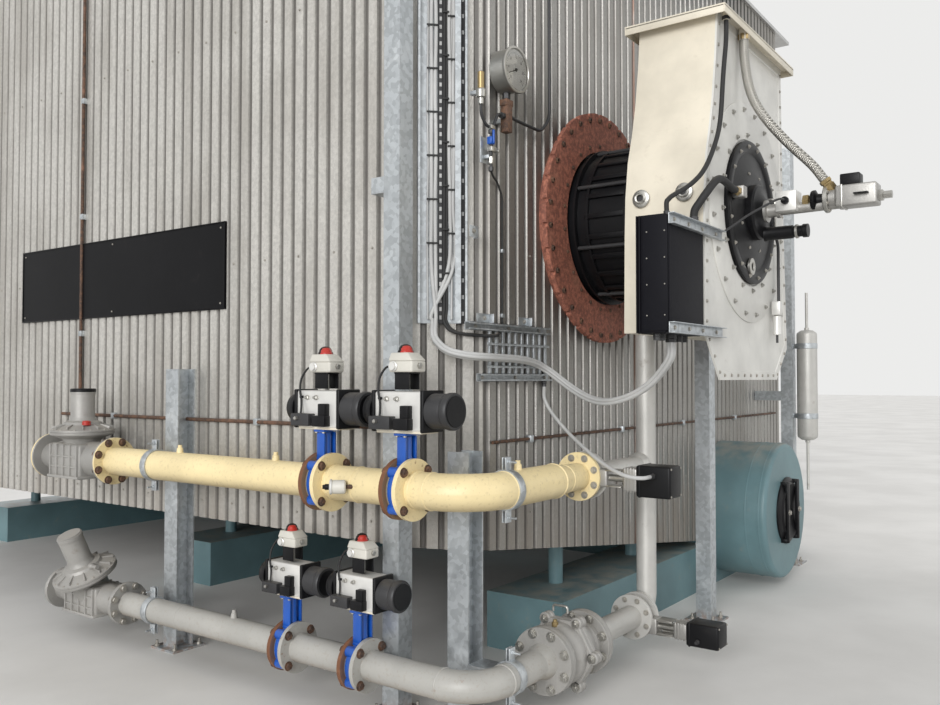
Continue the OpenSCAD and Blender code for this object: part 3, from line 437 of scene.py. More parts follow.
def block(size, at, soft=0.003, steps=2, turn=None):
    """A box with its edges broken, its middle at a point."""
    clear()
    bpy.ops.mesh.primitive_cube_add(size=1)
    thing = bpy.context.object
    thing.scale = size
    apply(thing)
    if soft:
        edit(thing)
        bpy.ops.mesh.bevel(offset=soft, segments=steps, affect="EDGES")
        bpy.ops.object.mode_set(mode="OBJECT")
        smooth(thing)
    return stand(thing, at, turn or "Z")


def turned(outline, at, axis="Z", sides=40, angle=35):
    """A turned part: an outline of radius and height pairs, drawn by extruding and spun."""
    clear()
    bpy.ops.mesh.primitive_plane_add(size=0.001)
    thing = bpy.context.object
    bpy.ops.object.mode_set(mode="EDIT")
    bpy.ops.mesh.select_mode(type="VERT")
    bpy.ops.mesh.merge(type="CENTER")
    bpy.ops.transform.translate(value=(outline[0][0], 0, outline[0][1]))
    for (r0, h0), (r1, h1) in zip(outline, outline[1:]):
        bpy.ops.mesh.extrude_region_move(TRANSFORM_OT_translate={"value": (r1 - r0, 0, h1 - h0)})
    bpy.ops.mesh.select_all(action="SELECT")
    bpy.ops.mesh.spin(steps=sides, angle=2 * pi, center=(0, 0, 0), axis=(0, 0, 1))
    bpy.ops.mesh.select_all(action="SELECT")
    bpy.ops.mesh.remove_doubles(threshold=1e-5)
    bpy.ops.mesh.normals_make_consistent(inside=False)
    bpy.ops.object.mode_set(mode="OBJECT")
    smooth(thing, angle)
    return stand(thing, at, axis)


def disc(r, t, at, axis="Z", sides=40, soft=0.002, bore=0.0):
    """A turned disc or ring with its edges broken."""
    outline = [(r - soft, 0), (r, soft), (r, t - soft), (r - soft, t)]
    if bore:
        outline = [(bore, 0), *outline, (bore, t), (bore, 0)]
    else:
        outline = [(0, 0), *outline, (0, t)]
    return turned(outline, at, axis, sides)


def swept(way, r, sides=3):
    """A round tube along a line of points."""
    clear()
    bpy.ops.curve.primitive_nurbs_path_add()
    curve = bpy.context.object.data
    curve.splines.clear()
    spline = curve.splines.new("POLY")
    spline.points.add(len(way) - 1)
    for point, co in zip(spline.points, way):
        point.co = (*co, 1)
    curve.dimensions, curve.bevel_depth, curve.bevel_resolution, curve.use_fill_caps = "3D", r, sides, True
    bpy.ops.object.convert(target="MESH")
    return apply(smooth(bpy.context.object, 60))


def tube(points, r, sides=3):
    """A limp or hanging line, smooth through its points."""
    return swept(smoothed(points), r, sides)


def smoothed(points, steps=6):
    """A Catmull-Rom curve through the points."""
    p = [Vector(q) for q in points]
    p = [2 * p[0] - p[1], *p, 2 * p[-1] - p[-2]]
    way = []
    for a, b, c, d in zip(p, p[1:], p[2:], p[3:]):
        for i in range(steps):
            t = i / steps
            way.append(0.5 * (2 * b + (c - a) * t + (2 * a - 5 * b + 4 * c - d) * t * t
                              + (3 * b - a - 3 * c + d) * t ** 3))
    return [*way, p[-2]]


def bent(points, r, bend):
    """A rigid line with straight runs and round bends."""
    p = [Vector(q) for q in points]
    way = [p[0]]
    for a, b, c in zip(p, p[1:], p[2:]):
        into, out = (a - b).normalized(), (c - b).normalized()
        way += [b + into * bend * (1 - t) ** 2 + out * bend * t ** 2 for t in (0, 0.25, 0.5, 0.75, 1)]
    return swept([*way, p[-1]], r)


def copies(master, places):
    """The master copied to each (point, turn), each copy with its own mesh, and joined."""
    made = []
    for at, axis in places:
        thing = master.copy()
        thing.data = master.data.copy()
        bpy.context.collection.objects.link(thing)
        thing.matrix_world = placed(at, axis)
        made.append(thing)
    bpy.data.objects.remove(master)
    return apply(joined(made))


def joined(things):
    """All the things as one object."""
    clear()
    for thing in things:
        thing.select_set(True)
    bpy.context.view_layer.objects.active = things[0]
    if len(things) > 1:
        bpy.ops.object.join()
    return bpy.context.object


def coated(thing, look):
    """Give a thing one finish by its name."""
    thing.data.materials.clear()
    thing.data.materials.append(LOOKS[look])
    return thing


def all_in(look, things):
    """The things paired with the one look they share."""
    return [(thing, look) for thing in things]


def boxes(look, *rows):
    """Blocks of one look, a row of block's own values for each."""
    return all_in(look, [block(*row) for row in rows])


def ready(name, parts, replaces=()):
    """Join (part, look) pairs into one named piece that rides with the boiler."""
    thing = apply(joined([coated(part, look) for part, look in parts]))
    thing.name = thing.data.name = name
    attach(thing, "root")
    if replaces:
        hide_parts(*replaces)
    return thing


def beside(way, out, count):
    """Routes that run round one another at a distance from the way's own line."""
    line = [Vector(q) for q in way]
    ahead = [(b - a).normalized() for a, b in zip([line[0], *line[:-2], line[-2]], [line[1], *line[2:], line[-1]])]
    across, routes = Vector((0.8, 0.6, 0)), [[] for _ in range(count)]
    for at, along in zip(line, ahead):
        across = (across - along * across.dot(along)).normalized()
        for i, route in enumerate(routes):
            a = 2 * pi * i / count
            route.append(at + out * (cos(a) * across + sin(a) * along.cross(across)))
    return routes


def ring_places(centre, r, count, axis, start=0.5):
    """Points round a circle about an axis, each with the axis as its turn."""
    turn = TURNS[axis]
    return [(Vector(centre) + turn @ Vector((r * cos(a), r * sin(a), 0)), axis)
            for a in (2 * pi * (i + start) / count for i in range(count))]


def hex_bolt(across, stud=0.0):
    """A hexagon nut on its washer, with its stud's end if that is given."""
    r = across * 0.577
    parts = [hexagonal([(0, 0), (r, 0), (r, across * 0.42), (r * 0.85, across * 0.5), (0, across * 0.5)], (0, 0, 0)),
             turned([(0, 0), (r * 1.25, 0), (r * 1.25, across * 0.12), (0, across * 0.12)], (0, 0, 0), sides=14)]
    if stud:
        parts.append(turned([(0, 0), (across * 0.29, 0), (across * 0.29, stud), (0, stud)],
                            (0, 0, 0), sides=10))
    return joined(parts)


def bolt_circle(centre, r, count, axis, across, stud=0.012):
    """Hexagon bolts round a flange."""
    return copies(hex_bolt(across, stud), ring_places(centre, r, count, axis))


def hexagonal(outline, at, axis="Z"):
    """A turned part with six flats."""
    return turned(outline, at, axis, 6, 20)


def weld(r, at, axis, half=0.006, sides=40):
    """A round weld bead on a pipe or a drum."""
    return turned([(r - 0.002, -half), (r + 0.002, 0.002 - half), (r + 0.0035, 0), (r + 0.002, half - 0.002),
                   (r - 0.002, half)], at, axis, sides)


LOOKS = {}
NODE_LOOKS = {
    "dark": "casing_core steam_nozzles", "sheet_x": "cladding_front cladding_rear",
    "sheet_y": "cladding_left cladding_right", "sheet_corner": "cladding_corners", "roof": "roof flue_outlet",
    "board": "sign_board", "teal": "steam_drum lower_drum drum_ends saddle_beams stools", "rust": "throat_ring",
    "black": "drum_manways register_drum burner_cover", "cream": "windbox_shell windbox_rear windbox_flange",
    "grey_front": "windbox_front", "box": "control_box", "silver": "gas_riser drain_pot",
    "alloy": "burner_gun upper_control_valve lower_control_valve", "upper_paint": "upper_pipe",
    "lower_paint": "lower_pipe", "blue": "upper_valves lower_valves", "white": "upper_actuators lower_actuators",
    "casting": "upper_regulator lower_regulator gas_filter", "steel": "pressure_gauge", "braid": "gas_hose",
    "zinc": "corner_post train_posts burner_post_frame pot_post pipe_clamps cable_tray cable_rack",
    "rubber": "valve_hose front_lead", "cable": "control_bundle valve_lead",
}


# Sizes and colours

def length(default, name, text):
    return bpy.props.FloatProperty(name=name, description=text, default=default, unit="LENGTH", precision=4)


def colour(default, name, text):
    return bpy.props.FloatVectorProperty(name=name, description=text, default=default, size=3,
                                         subtype="COLOR", min=0.0, max=1.0)


class BoilerSizes(bpy.types.PropertyGroup):
    """Sizes of the fittings."""

    flange_bolt: length(0.026, "Flange bolt", "Width across the flats of the pipe flanges' nuts")
    screw: length(0.010, "Sheet screw", "Width across the flats of the cladding's screws")
    anchor: length(0.024, "Anchor bolt", "Width across the flats of the posts' anchor nuts")
    conduit: length(0.011, "Line", "Radius of the small lines on the walls")


class BoilerColours(bpy.types.PropertyGroup):
    """Colours of the finishes."""

    # The side walls show this colour as it is; the front and corner walls darken it as painted shade.
    sheet: colour((0.70, 0.68, 0.64), "Sheet", "Bright colour of the ribbed sheet")
    zinc: colour((0.52, 0.55, 0.57), "Zinc", "Colour of the galvanised posts and trays")
    upper_pipe: colour((0.86, 0.71, 0.40), "Upper pipe", "Paint of the upper gas pipe")
    lower_pipe: colour((0.42, 0.41, 0.38), "Lower pipe", "Paint of the lower gas pipe")
    valve: colour((0.006, 0.085, 0.42), "Valves", "Enamel of the shut-off valves")
    drum: colour((0.130, 0.225, 0.245), "Drums", "Paint of the drums and beams")
    windbox: colour((0.72, 0.66, 0.54), "Windbox", "Paint of the windbox's sides")
    front_plate: colour((0.66, 0.65, 0.61), "Front plate", "Paint of the windbox's front plate")
    casting: colour((0.36, 0.35, 0.33), "Castings", "Paint of the regulators and the filter")


class Maker:
    """What the operators share: their sizes, and an execute that reports success."""

    bl_options = {"REGISTER", "UNDO"}

    def execute(self, context):
        self.make(context.scene.boiler_sizes)
        return {"FINISHED"}


class BOILER_OT_stage(Maker, bpy.types.Operator):
    """Add the floor, the lights and the camera"""

    bl_idname = "boiler.stage"
    bl_label = "Stage"

    def make(self, sizes):
        clear()
        bpy.ops.mesh.primitive_plane_add(size=160, location=(2.8, 3.0, 0))
        floor = bpy.context.object
        floor.name = "floor"
        look = Look("pale_floor")
        cloud = look.noise(0.8, 6.0)
        look.feed(Base_Color=look.mix(cloud.over(0.3, 0.7), rgb((0.70, 0.685, 0.655)), rgb((0.80, 0.785, 0.755))),
                  Roughness=cloud * 0.1 + 0.6)
        floor.data.materials.append(look.material)
        world = bpy.data.worlds.new("soft_room")
        bpy.context.scene.world = world
        world.use_nodes = True
        tree = world.node_tree
        tree.nodes.clear()
        path = tree.nodes.new("ShaderNodeLightPath")
        share = path.outputs["Is Camera Ray"]
        for ray in ("Is Transmission Ray", "Is Glossy Ray"):
            either = tree.nodes.new("ShaderNodeMath")
            either.operation = "MAXIMUM"
            tree.links.new(share, either.inputs[0])
            tree.links.new(path.outputs[ray], either.inputs[1])
            share = either.outputs[0]
        both = tree.nodes.new("ShaderNodeMixShader")
        tree.links.new(share, both.inputs[0])
        for i, tint, strength in ((1, (0.97, 0.98, 1.0, 1), 0.62), (2, (0.84, 0.84, 0.83, 1), 1.0)):
            background = tree.nodes.new("ShaderNodeBackground")
            background.inputs[0].default_value, background.inputs[1].default_value = tint, strength
            tree.links.new(background.outputs[0], both.inputs[i])
        tree.links.new(both.outputs[0], tree.nodes.new("ShaderNodeOutputWorld").inputs[0])
        for name, at, spread, power in (("key", (-8.0, -2.4, 2.6), 0.55, 2.2),
                                        ("fill", (1.5, -9.0, 3.2), 0.80, 0.32),
                                        ("rear", (6.0, 9.0, 6.0), 0.80, 0.60)):
            bpy.ops.object.light_add(type="SUN", location=at)
            lamp = bpy.context.object
            lamp.name = name
            lamp.data.angle, lamp.data.energy = spread, power
            lamp.rotation_euler = (-Vector(at)).to_track_quat("-Z", "Y").to_euler()
        tilt = radians(1.62)
        ahead = Vector((0.8099 * cos(tilt), 0.5866 * cos(tilt), sin(tilt)))
        bpy.ops.object.camera_add(location=(-3.257, -2.790, 1.6))
        camera = bpy.context.object
        camera.rotation_euler = ahead.to_track_quat("-Z", "Y").to_euler()
        camera.data.lens, camera.data.sensor_width, camera.data.sensor_fit = 33.83, 36.0, "HORIZONTAL"
        camera.data.clip_end = 300.0
        bpy.context.scene.camera = camera
        bpy.context.scene.view_settings.view_transform = "Standard"


class BOILER_OT_finishes(Maker, bpy.types.Operator):
    """Give every solid of the frame its finish"""

    bl_idname = "boiler.finishes"
    bl_label = "Finishes"

    def make(self, sizes):
        LOOKS.update(make_looks(bpy.context.scene.boiler_colours))
        for look, nodes in NODE_LOOKS.items():
            for node in nodes.split():
                coated(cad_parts[node], look)


class BOILER_OT_sheet_screws(Maker, bpy.types.Operator):
    """Add the cladding's rows of screws, off the sign board, the burner and the drums"""

    bl_idname = "boiler.sheet_screws"
    bl_label = "Sheet screws"

    def make(self, sizes):
        rows = (0.874, 2.26, 3.62)
        places = [((WALL - CREST, SIDE_RIB + (65.5 - i) * PITCH, z), "-X") for i in range(1, 66, 3) for z in rows]
        columns = [FRONT_RIB + (i + 0.5) * PITCH for i in range(1, 54, 3)]
        places += [((x, FRONT - CREST, z), "-Y") for x in columns if abs(x - BURNER.x) > 0.72 for z in rows]
        places = [(at, axis) for at, axis in places if not (1.36 < at[1] < 3.70 and 1.98 < at[2] < 2.53)
                  and not (3.0 < at[0] < 4.5 and at[2] < 1.12)]
        screws = copies(hex_bolt(sizes.screw), places)
        ready("sheet_screws", [(screws, "bolt")])


class BOILER_OT_sign(Maker, bpy.types.Operator):
    """Add the bare sign board's edge trim and its fixings"""

    bl_idname = "boiler.sign"
    bl_label = "Sign board"

    def make(self, sizes):
        low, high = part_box("sign_board")
        x, mid_y, mid_z = low[0], (low[1] + high[1]) / 2, (low[2] + high[2]) / 2
        trim = [block((0.004, high[1] - low[1], 0.008), (x - 0.002, mid_y, z), 0.001)
                for z in (low[2] + 0.004, high[2] - 0.004)]
        trim += [block((0.004, 0.008, high[2] - low[2] - 0.016), (x - 0.002, y, mid_z), 0.001)
                 for y in (low[1] + 0.004, high[1] - 0.004)]
        places = [((x - 0.0005, y, z), "-X") for y in (low[1] + 0.04, mid_y, high[1] - 0.04)
                  for z in (low[2] + 0.035, high[2] - 0.035)]
        screws = copies(hex_bolt(0.009), places)
        ready("sign_trim", [*all_in("board", trim), (screws, "bolt")])


class BOILER_OT_valves(Maker, bpy.types.Operator):
    """Replace the shut-off valves by lugged wafer bodies with their necks and bolts"""

    bl_idname = "boiler.valves"
    bl_label = "Shut-off valves"

    def make(self, sizes):
        for name, level, places, r, rim in (("upper_valves", UPPER_Z, UPPER_VALVES, 0.105, 0.142),
                                            ("lower_valves", LOWER_Z, LOWER_VALVES, 0.090, 0.125)):
            parts = []
            for y in places:
                body = turned([(r * 0.6, -0.028), (r * 0.97, -0.028), (r, -0.024), (r, -0.020), (r + 0.014, -0.016),
                               (r + 0.014, 0.016), (r, 0.020), (r, 0.024), (r * 0.97, 0.028),
                               (r * 0.6, 0.028)], (RUN_X, y, level), "Y")
                neck = turned([(0.030, 0), (0.026, 0.02), (0.022, 0.05), (0.022, SEAT - 0.014 - r)],
                              (RUN_X, y, level + r - 0.002), sides=24)
                plates = [block((0.012, 0.050, SEAT - 0.017 - r),
                                (RUN_X + s * 0.036, y, level + (SEAT - 0.012 + r) / 2), 0.002) for s in (-1, 1)]
                top = block((0.110, 0.070, 0.012), (RUN_X, y, level + SEAT - 0.006), 0.003)
                foot = block((0.090, 0.050, 0.012), (RUN_X, y, level + r + 0.010), 0.003)
                parts += all_in("blue", (body, neck, *plates, top, foot))
                corners = [((RUN_X + s * 0.045, y + t * 0.024, level + SEAT - 0.012), "-Z") for s, t in CORNERS]
                parts.append((copies(hex_bolt(0.013), corners), "bolt"))
                bolt_r = (r + rim) / 2 - 0.003
                for out, axis in ((-0.050, "-Y"), (0.050, "Y")):
                    parts.append((bolt_circle((RUN_X, y + out, level), bolt_r, 4, axis, 0.032, 0.020), "rusty_steel"))
                thick = 0.0555
                lug = disc(0.026, thick, (0, 0, 0), sides=24)
                lugs = copies(lug, ring_places((RUN_X, y - thick / 2, level), bolt_r - 0.006, 4, "Y"))
                parts.append((lugs, "blue"))
            ready(name + "_dressed", parts, (name,))


class BOILER_OT_actuators(Maker, bpy.types.Operator):
    """Replace the valves' air actuators by housings with end caps, solenoids and switch boxes"""

    bl_idname = "boiler.actuators"
    bl_label = "Actuators"

    def make(self, sizes):
        for name, level, places, k in (("upper_actuators", UPPER_Z, UPPER_VALVES, 1.2),
                                       ("lower_actuators", LOWER_Z, LOWER_VALVES, 1.05)):
            parts = []
            for y in places:
                self.one(parts, Matrix.Translation((RUN_X, y, level + SEAT)) @ Matrix.Scale(k, 4))
            ready(name + "_dressed", parts, (name,))

    def one(self, parts, where):
        made = boxes("white", ((0.112, 0.250, 0.150), (0, 0, 0.083), 0.010, 4))
        made += boxes("black", *(((0.126, 0.018, 0.158), (0, s * 0.120, 0.084), 0.006, 3) for s in (-1, 1)))
        made += boxes("cream", ((0.104, 0.222, 0.012), (0, 0, 0.006), 0.003))
        near = turned([(0, 0), (0.063, 0), (0.066, 0.004), (0.066, 0.062), (0.064, 0.068), (0.068, 0.074),
                       (0.070, 0.080), (0.070, 0.096), (0.066, 0.102), (0, 0.103)], (0, -0.129, 0.085), "-Y")
        far = turned([(0, 0), (0.070, 0), (0.070, 0.018), (0.062, 0.030), (0.058, 0.048), (0.040, 0.055),
                      (0, 0.055)], (0, 0.129, 0.085), "Y")
        made += [(near, "dark"), (far, "black"), (disc(0.058, 0.004, (0, -0.231, 0.085), "-Y", 40, 0.001), "black")]
        made += [(hexagonal([(0, 0), (0.010, 0), (0.010, 0.010), (0.006, 0.012), (0.006, 0.020), (0, 0.020)],
                            (-0.055, y, 0.130), "-X"), "steel") for y in (0.052, 0.002)]
        made += boxes("black", *(((0.006, 0.070, 0.062), (s * 0.030, 0, 0.196), 0.001) for s in (-1, 1)),
                      ((0.070, 0.072, 0.006), (0, 0, 0.228), 0.001))
        made.append((disc(0.012, 0.060, (0, 0, 0.165), sides=20), "steel"))
        made += boxes("beige", ((0.086, 0.116, 0.044), (0, 0, 0.253), 0.008, 3))
        lid = block((0.089, 0.119, 0.032), (0, 0, 0), 0)
        edit(lid, lambda c, n: n.z > 0.9)
        bpy.ops.transform.resize(value=(0.78, 0.70, 1))
        bpy.ops.transform.translate(value=(0, 0.012, 0))
        bpy.ops.mesh.select_all(action="SELECT")
        bpy.ops.mesh.bevel(offset=0.005, segments=3, affect="EDGES")
        bpy.ops.object.mode_set(mode="OBJECT")
        smooth(lid)
        made.append((stand(lid, (0, 0, 0.290)), "beige"))
        dome = [(0, 0), (0.031, 0), (0.031, 0.008), (0.027, 0.012), (0.0255, 0.020), (0.019, 0.029), (0.008, 0.034),
                (0, 0.034)]
        made += [(turned(dome, (0, 0.008, 0.304)), "black"),
                 (turned([(r * 0.88, h * 0.90) for r, h in dome], (-0.0045, 0.0015, 0.304)), "red")]
        made.append((turned([(0, 0), (0.019, 0), (0.019, 0.006), (0.015, 0.009), (0.015, 0.016), (0, 0.017)],
                            (-0.042, 0.030, 0.254), "-X", 24), "white"))
        made.append((turned([(0, 0), (0.013, 0), (0.013, 0.012), (0.009, 0.015), (0.011, 0.018), (0.011, 0.028),
                             (0, 0.029)], (0, 0.057, 0.256), "Y", 14), "black"))
        made.append((hexagonal([(0, 0), (0.012, 0), (0.012, 0.008), (0.009, 0.010), (0, 0.010)],
                               (0, -0.058, 0.256), "-Y"), "steel"))
        made += boxes("dark", ((0.040, 0.104, 0.050), (-0.075, 0.062, 0.040), 0.004))
        made += boxes("black", ((0.036, 0.070, 0.044), (-0.073, -0.040, 0.036), 0.004),
                      ((0.030, 0.040, 0.052), (-0.070, -0.052, 0.080), 0.004))
        made.append((hexagonal([(0, 0), (0.008, 0), (0.008, 0.014), (0.004, 0.018), (0, 0.018)],
                               (-0.094, 0.075, 0.046), "-X"), "steel"))
        lead = tube([(0, 0.083, 0.256), (-0.016, 0.098, 0.246), (-0.046, 0.100, 0.208), (-0.062, 0.092, 0.160),
                     (-0.064, 0.082, 0.120), (-0.070, 0.076, 0.086), (-0.075, 0.074, 0.062)], 0.0045)
        clip = block((0.012, 0.016, 0.010), (-0.060, 0.084, 0.132), 0.002)
        made += [(lead, "rubber"), (clip, "black")]
        for part, look in made:
            part.matrix_world = where
            parts.append((apply(part), look))


class BOILER_OT_pipe_fittings(Maker, bpy.types.Operator):
    """Add the pipes' end bolts, weld beads and nipples, and the pressure switch on the upper one"""

    bl_idname = "boiler.pipe_fittings"
    bl_label = "Pipe fittings"

    def make(self, sizes):
        upper = [(bolt_circle((0.770, UPPER_RUN, UPPER_Z), 0.100, 8, "-X", sizes.flange_bolt, 0.016), "bolt"),
                 (bolt_circle((0.870, UPPER_RUN, UPPER_Z), 0.100, 8, "X", sizes.flange_bolt, 0.010), "bolt")]
        added = [weld(UPPER_R, (RUN_X, UPPER_RUN + 0.229, UPPER_Z), "Y"),
                 weld(UPPER_R, (RUN_X + 0.229, UPPER_RUN, UPPER_Z), "X"),
                 weld(UPPER_R, (0.520, UPPER_RUN, UPPER_Z), "X"),
                 weld(LOWER_R, (0.620, UPPER_RUN, UPPER_Z), "X")]
        added += [weld(UPPER_R, (RUN_X, y, UPPER_Z), "Y") for y in (-0.250, 0.105, 0.264, 0.404)]
        nipple = [(0, 0), (0.020, 0), (0.017, 0.026), (0.012, 0.030), (0.012, 0.044), (0, 0.044)]
        added += [turned(nipple, (x, y, UPPER_Z + 0.082), "Z", 18)
                  for x, y in ((RUN_X, 0.70), (0.20, UPPER_RUN), (RUN_X, 1.50))]
        upper += all_in("upper_paint", added)
        way = Vector((-0.66, 0.75, 0.0))
        for out, facets, look, outline in (
                (0, (6, 20), "rusty_steel",
                 [(0, -0.014), (0.012, -0.014), (0.012, 0.012), (0.010, 0.014), (0.010, 0.028), (0, 0.028)]),
                (0.026, (32,), "beige",
                 [(0, 0), (0.026, 0), (0.032, 0.006), (0.032, 0.060), (0.028, 0.066), (0, 0.066)]),
                (0.090, (32,), "white",
                 [(0, 0), (0.035, 0), (0.036, 0.003), (0.036, 0.009), (0.028, 0.013), (0, 0.013)]),
                (0.102, (20,), "black",
                 [(0, 0), (0.014, 0), (0.014, 0.020), (0.010, 0.024), (0.010, 0.032), (0, 0.032)])):
            at = Vector((RUN_X - 0.080, 0.090, UPPER_Z)) + way * out
            upper.append((turned(outline, at, towards(*way), *facets), look))
        ready("upper_pipe_fittings", upper)
        lower = [weld(LOWER_R, (RUN_X, LOWER_RUN + 0.190, LOWER_Z), "Y"),
                 weld(LOWER_R, (RUN_X + 0.190, LOWER_RUN, LOWER_Z), "X"),
                 weld(LOWER_R, (RUN_X, 1.45, LOWER_Z), "Y"),
                 turned([(0, 0), (0.018, 0), (0.015, 0.024), (0.011, 0.028), (0.011, 0.042), (0, 0.042)],
                        (RUN_X, 1.02, LOWER_Z + 0.068), "Z", 18)]
        ready("lower_pipe_fittings", all_in("lower_paint", lower))


class BOILER_OT_regulators(Maker, bpy.types.Operator):
    """Replace the two gas regulators by cast bodies with bolted diaphragm cases"""

    bl_idname = "boiler.regulators"
    bl_label = "Regulators"

    def make(self, sizes):
        for name, y, level, r, rim, ring, tilt, rims in (
                ("upper_regulator", 2.14, UPPER_Z, 0.084, 0.1425, 0.120, 0.0, "upper_paint"),
                ("lower_regulator", 1.98, LOWER_Z, 0.070, 0.125, 0.105, -24.0, "casting")):
            mid, low, wide = y + 0.363, level - 0.012, r * 2.9
            parts = []
            for face, look, bore in ((y, rims, 0.0), (y + 0.013, "casting", 0.0), (y + 0.700, "casting", r - 0.008),
                                     (y + 0.713, rims, r - 0.008)):
                parts.append((disc(rim, 0.0128, (RUN_X, face, level), "Y", bore=bore), look))
            necks = ((r * 1.02, 0.026), (r * 1.02, 0.060), (r * 1.15, 0.120), (r * 1.3, 0.190), (r * 1.3, 0.530),
                     (r * 1.15, 0.600), (r * 1.02, 0.650), (r * 1.02, 0.700))
            parts.append((turned([(0, 0.026), *necks, (0, 0.700)], (RUN_X, y, level), "Y"), "casting"))
            parts += boxes(
                "casting", ((wide, 0.330, wide * 0.9), (RUN_X, mid, low), 0.022, 3),
                ((wide + 0.030, 0.350, 0.016), (RUN_X, mid, level - wide * 0.44), 0.004),
                *(((wide + 0.024, 0.012, wide * 0.86), (RUN_X, mid + i * 0.075, low), 0.004) for i in range(-2, 3)),
                *(((wide + 0.016, 0.310, 0.010), (RUN_X, mid, level + d), 0.003) for d in (-0.045, 0.020)))
            metal, across = ("rusty_steel", 0.034) if tilt == 0 else ("bolt", 0.030)
            parts.append((bolt_circle((RUN_X, y, level), ring, 8, "-Y", across, 0.014), metal))
            parts.append((bolt_circle((RUN_X, y + 0.026, level), ring, 8, "Y", across, 0.010), metal))
            shift = 0.0015 if tilt else 0.0
            turn = placed((RUN_X + shift, mid, level), Matrix.Rotation(radians(tilt), 4, "Y"))
            case = turned([(0.105, 0), (0.105, 0.10), (0.120, 0.125), (0.188, 0.150), (0.190, 0.153), (0.190, 0.166),
                           (0.186, 0.168), (0.190, 0.170), (0.190, 0.180), (0.180, 0.184), (0.150, 0.200),
                           (0.120, 0.212), (0.110, 0.228), (0.084, 0.238), (0.076, 0.254), (0.072, 0.268),
                           (0.072, 0.405), (0.075, 0.408), (0.075, 0.428), (0.064, 0.434), (0, 0.434)],
                          (0, 0, 0), sides=48)
            nuts = bolt_circle((0, 0, 0.180), 0.176, 12, "Z", 0.015, 0.008)
            ribs = [block((0.098, 0.007, 0.022), (0.132 * cos(a), 0.132 * sin(a), 0.203), 0.002,
                          turn=Matrix.Rotation(a, 4, "Z") @ Matrix.Rotation(0.24, 4, "Y"))
                    for a in (i * pi / 6 for i in range(12))]
            if tilt:
                vent = turned([(0, 0), (0.020, 0), (0.020, 0.02), (0.013, 0.026), (0.013, 0.07), (0, 0.07)],
                              (0.0, -0.10, 0.225), "-Y", 18)
                cap = disc(0.070, 0.003, (0, 0, 0.433), soft=0.001)
            else:
                vent = turned([(0, 0), (0.026, 0), (0.026, 0.022), (0.020, 0.028), (0, 0.029)],
                              (-0.040, -0.110, 0.212), sides=20)
                cap = turned([(0.060, 0), (0.077, 0), (0.077, 0.016), (0.072, 0.022), (0, 0.023)], (0, 0, 0.418))
            for part, look in ((case, "casting"), (nuts, "bolt"), (vent, "casting" if tilt else "red"),
                               (cap, "casting" if tilt else "black"), *all_in("casting", ribs)):
                part.matrix_world = turn
                parts.append((apply(part), look))
            ready(name + "_dressed", parts, (name,))


class BOILER_OT_filter(Maker, bpy.types.Operator):
    """Replace the gas filter by its lobed body between bolted flanges"""

    bl_idname = "boiler.filter"
    bl_label = "Gas filter"

    def make(self, sizes):
        y, z = LOWER_RUN, LOWER_Z
        parts = [(disc(0.160, 0.024, (x, y, z), "X", 48), "casting") for x in (0.375, 0.401, 0.755, 0.781)]
        parts += [(disc(0.152, 0.006, (x, y, z), "X", 48), "dark") for x in (0.397, 0.777)]
        dome = [(0.120, 0), (0.113, 0.015), (0.114, 0.035), (0.128, 0.056), (0.146, 0.074), (0.152, 0.090),
                (0.152, 0.122)]
        parts.append((turned(dome, (0.425, y, z), "X", 48), "casting"))
        parts.append((turned([(r, 0.122 - h) for r, h in reversed(dome)], (0.603, y, z), "X", 48), "casting"))
        parts.append((disc(0.120, 0.040, (0.720, y, z), "X", 48), "casting"))
        for x in (0.546, 0.576):
            plate = disc(0.186, 0.028, (x, y, z), TURNS["X"] @ Matrix.Rotation(pi / 6, 4, "Z"), 6, 0.004)
            ear = disc(0.030, 0.028, (0, 0, 0), sides=24, soft=0.004)
            parts += all_in("casting", (plate, copies(ear, ring_places((x, y, z), 0.176, 6, "X"))))
        for x, axis in ((0.546, "-X"), (0.604, "X")):
            parts.append((bolt_circle((x, y, z), 0.176, 6, axis, 0.030, 0.020), "steel"))
        for x, axis in ((0.375, "-X"), (0.425, "X"), (0.755, "-X"), (0.805, "X")):
            parts.append((bolt_circle((x, y, z), 0.134, 8, axis, 0.034, 0.020), "steel"))
        parts.append((turned([(0.100, 0), (0.094, 0.010), (0.074, 0.040), (0.065, 0.060), (0.065, 0.535)],
                             (0.805, y, z), "X"), "silver"))
        parts += all_in("silver", (weld(0.065, (0.872, y, z), "X"), disc(0.125, 0.022, (1.340, y, z), "X")))
        parts.append((bolt_circle((1.340, y, z), 0.100, 8, "-X", 0.022, 0.012), "bolt"))
        parts.append((hexagonal([(0, 0), (0.016, 0), (0.016, 0.020), (0.010, 0.024), (0.010, 0.034), (0, 0.034)],
                                (0.500, y, z + 0.138)), "brass"))
        grip = bent([(0.552, y - 0.040, z + 0.196), (0.552, y - 0.040, z + 0.228), (0.552, y + 0.040, z + 0.228),
                     (0.552, y + 0.040, z + 0.196)], 0.006, 0.014)
        parts.append((grip, "steel"))
        ready("gas_filter_dressed", parts, ("gas_filter",))


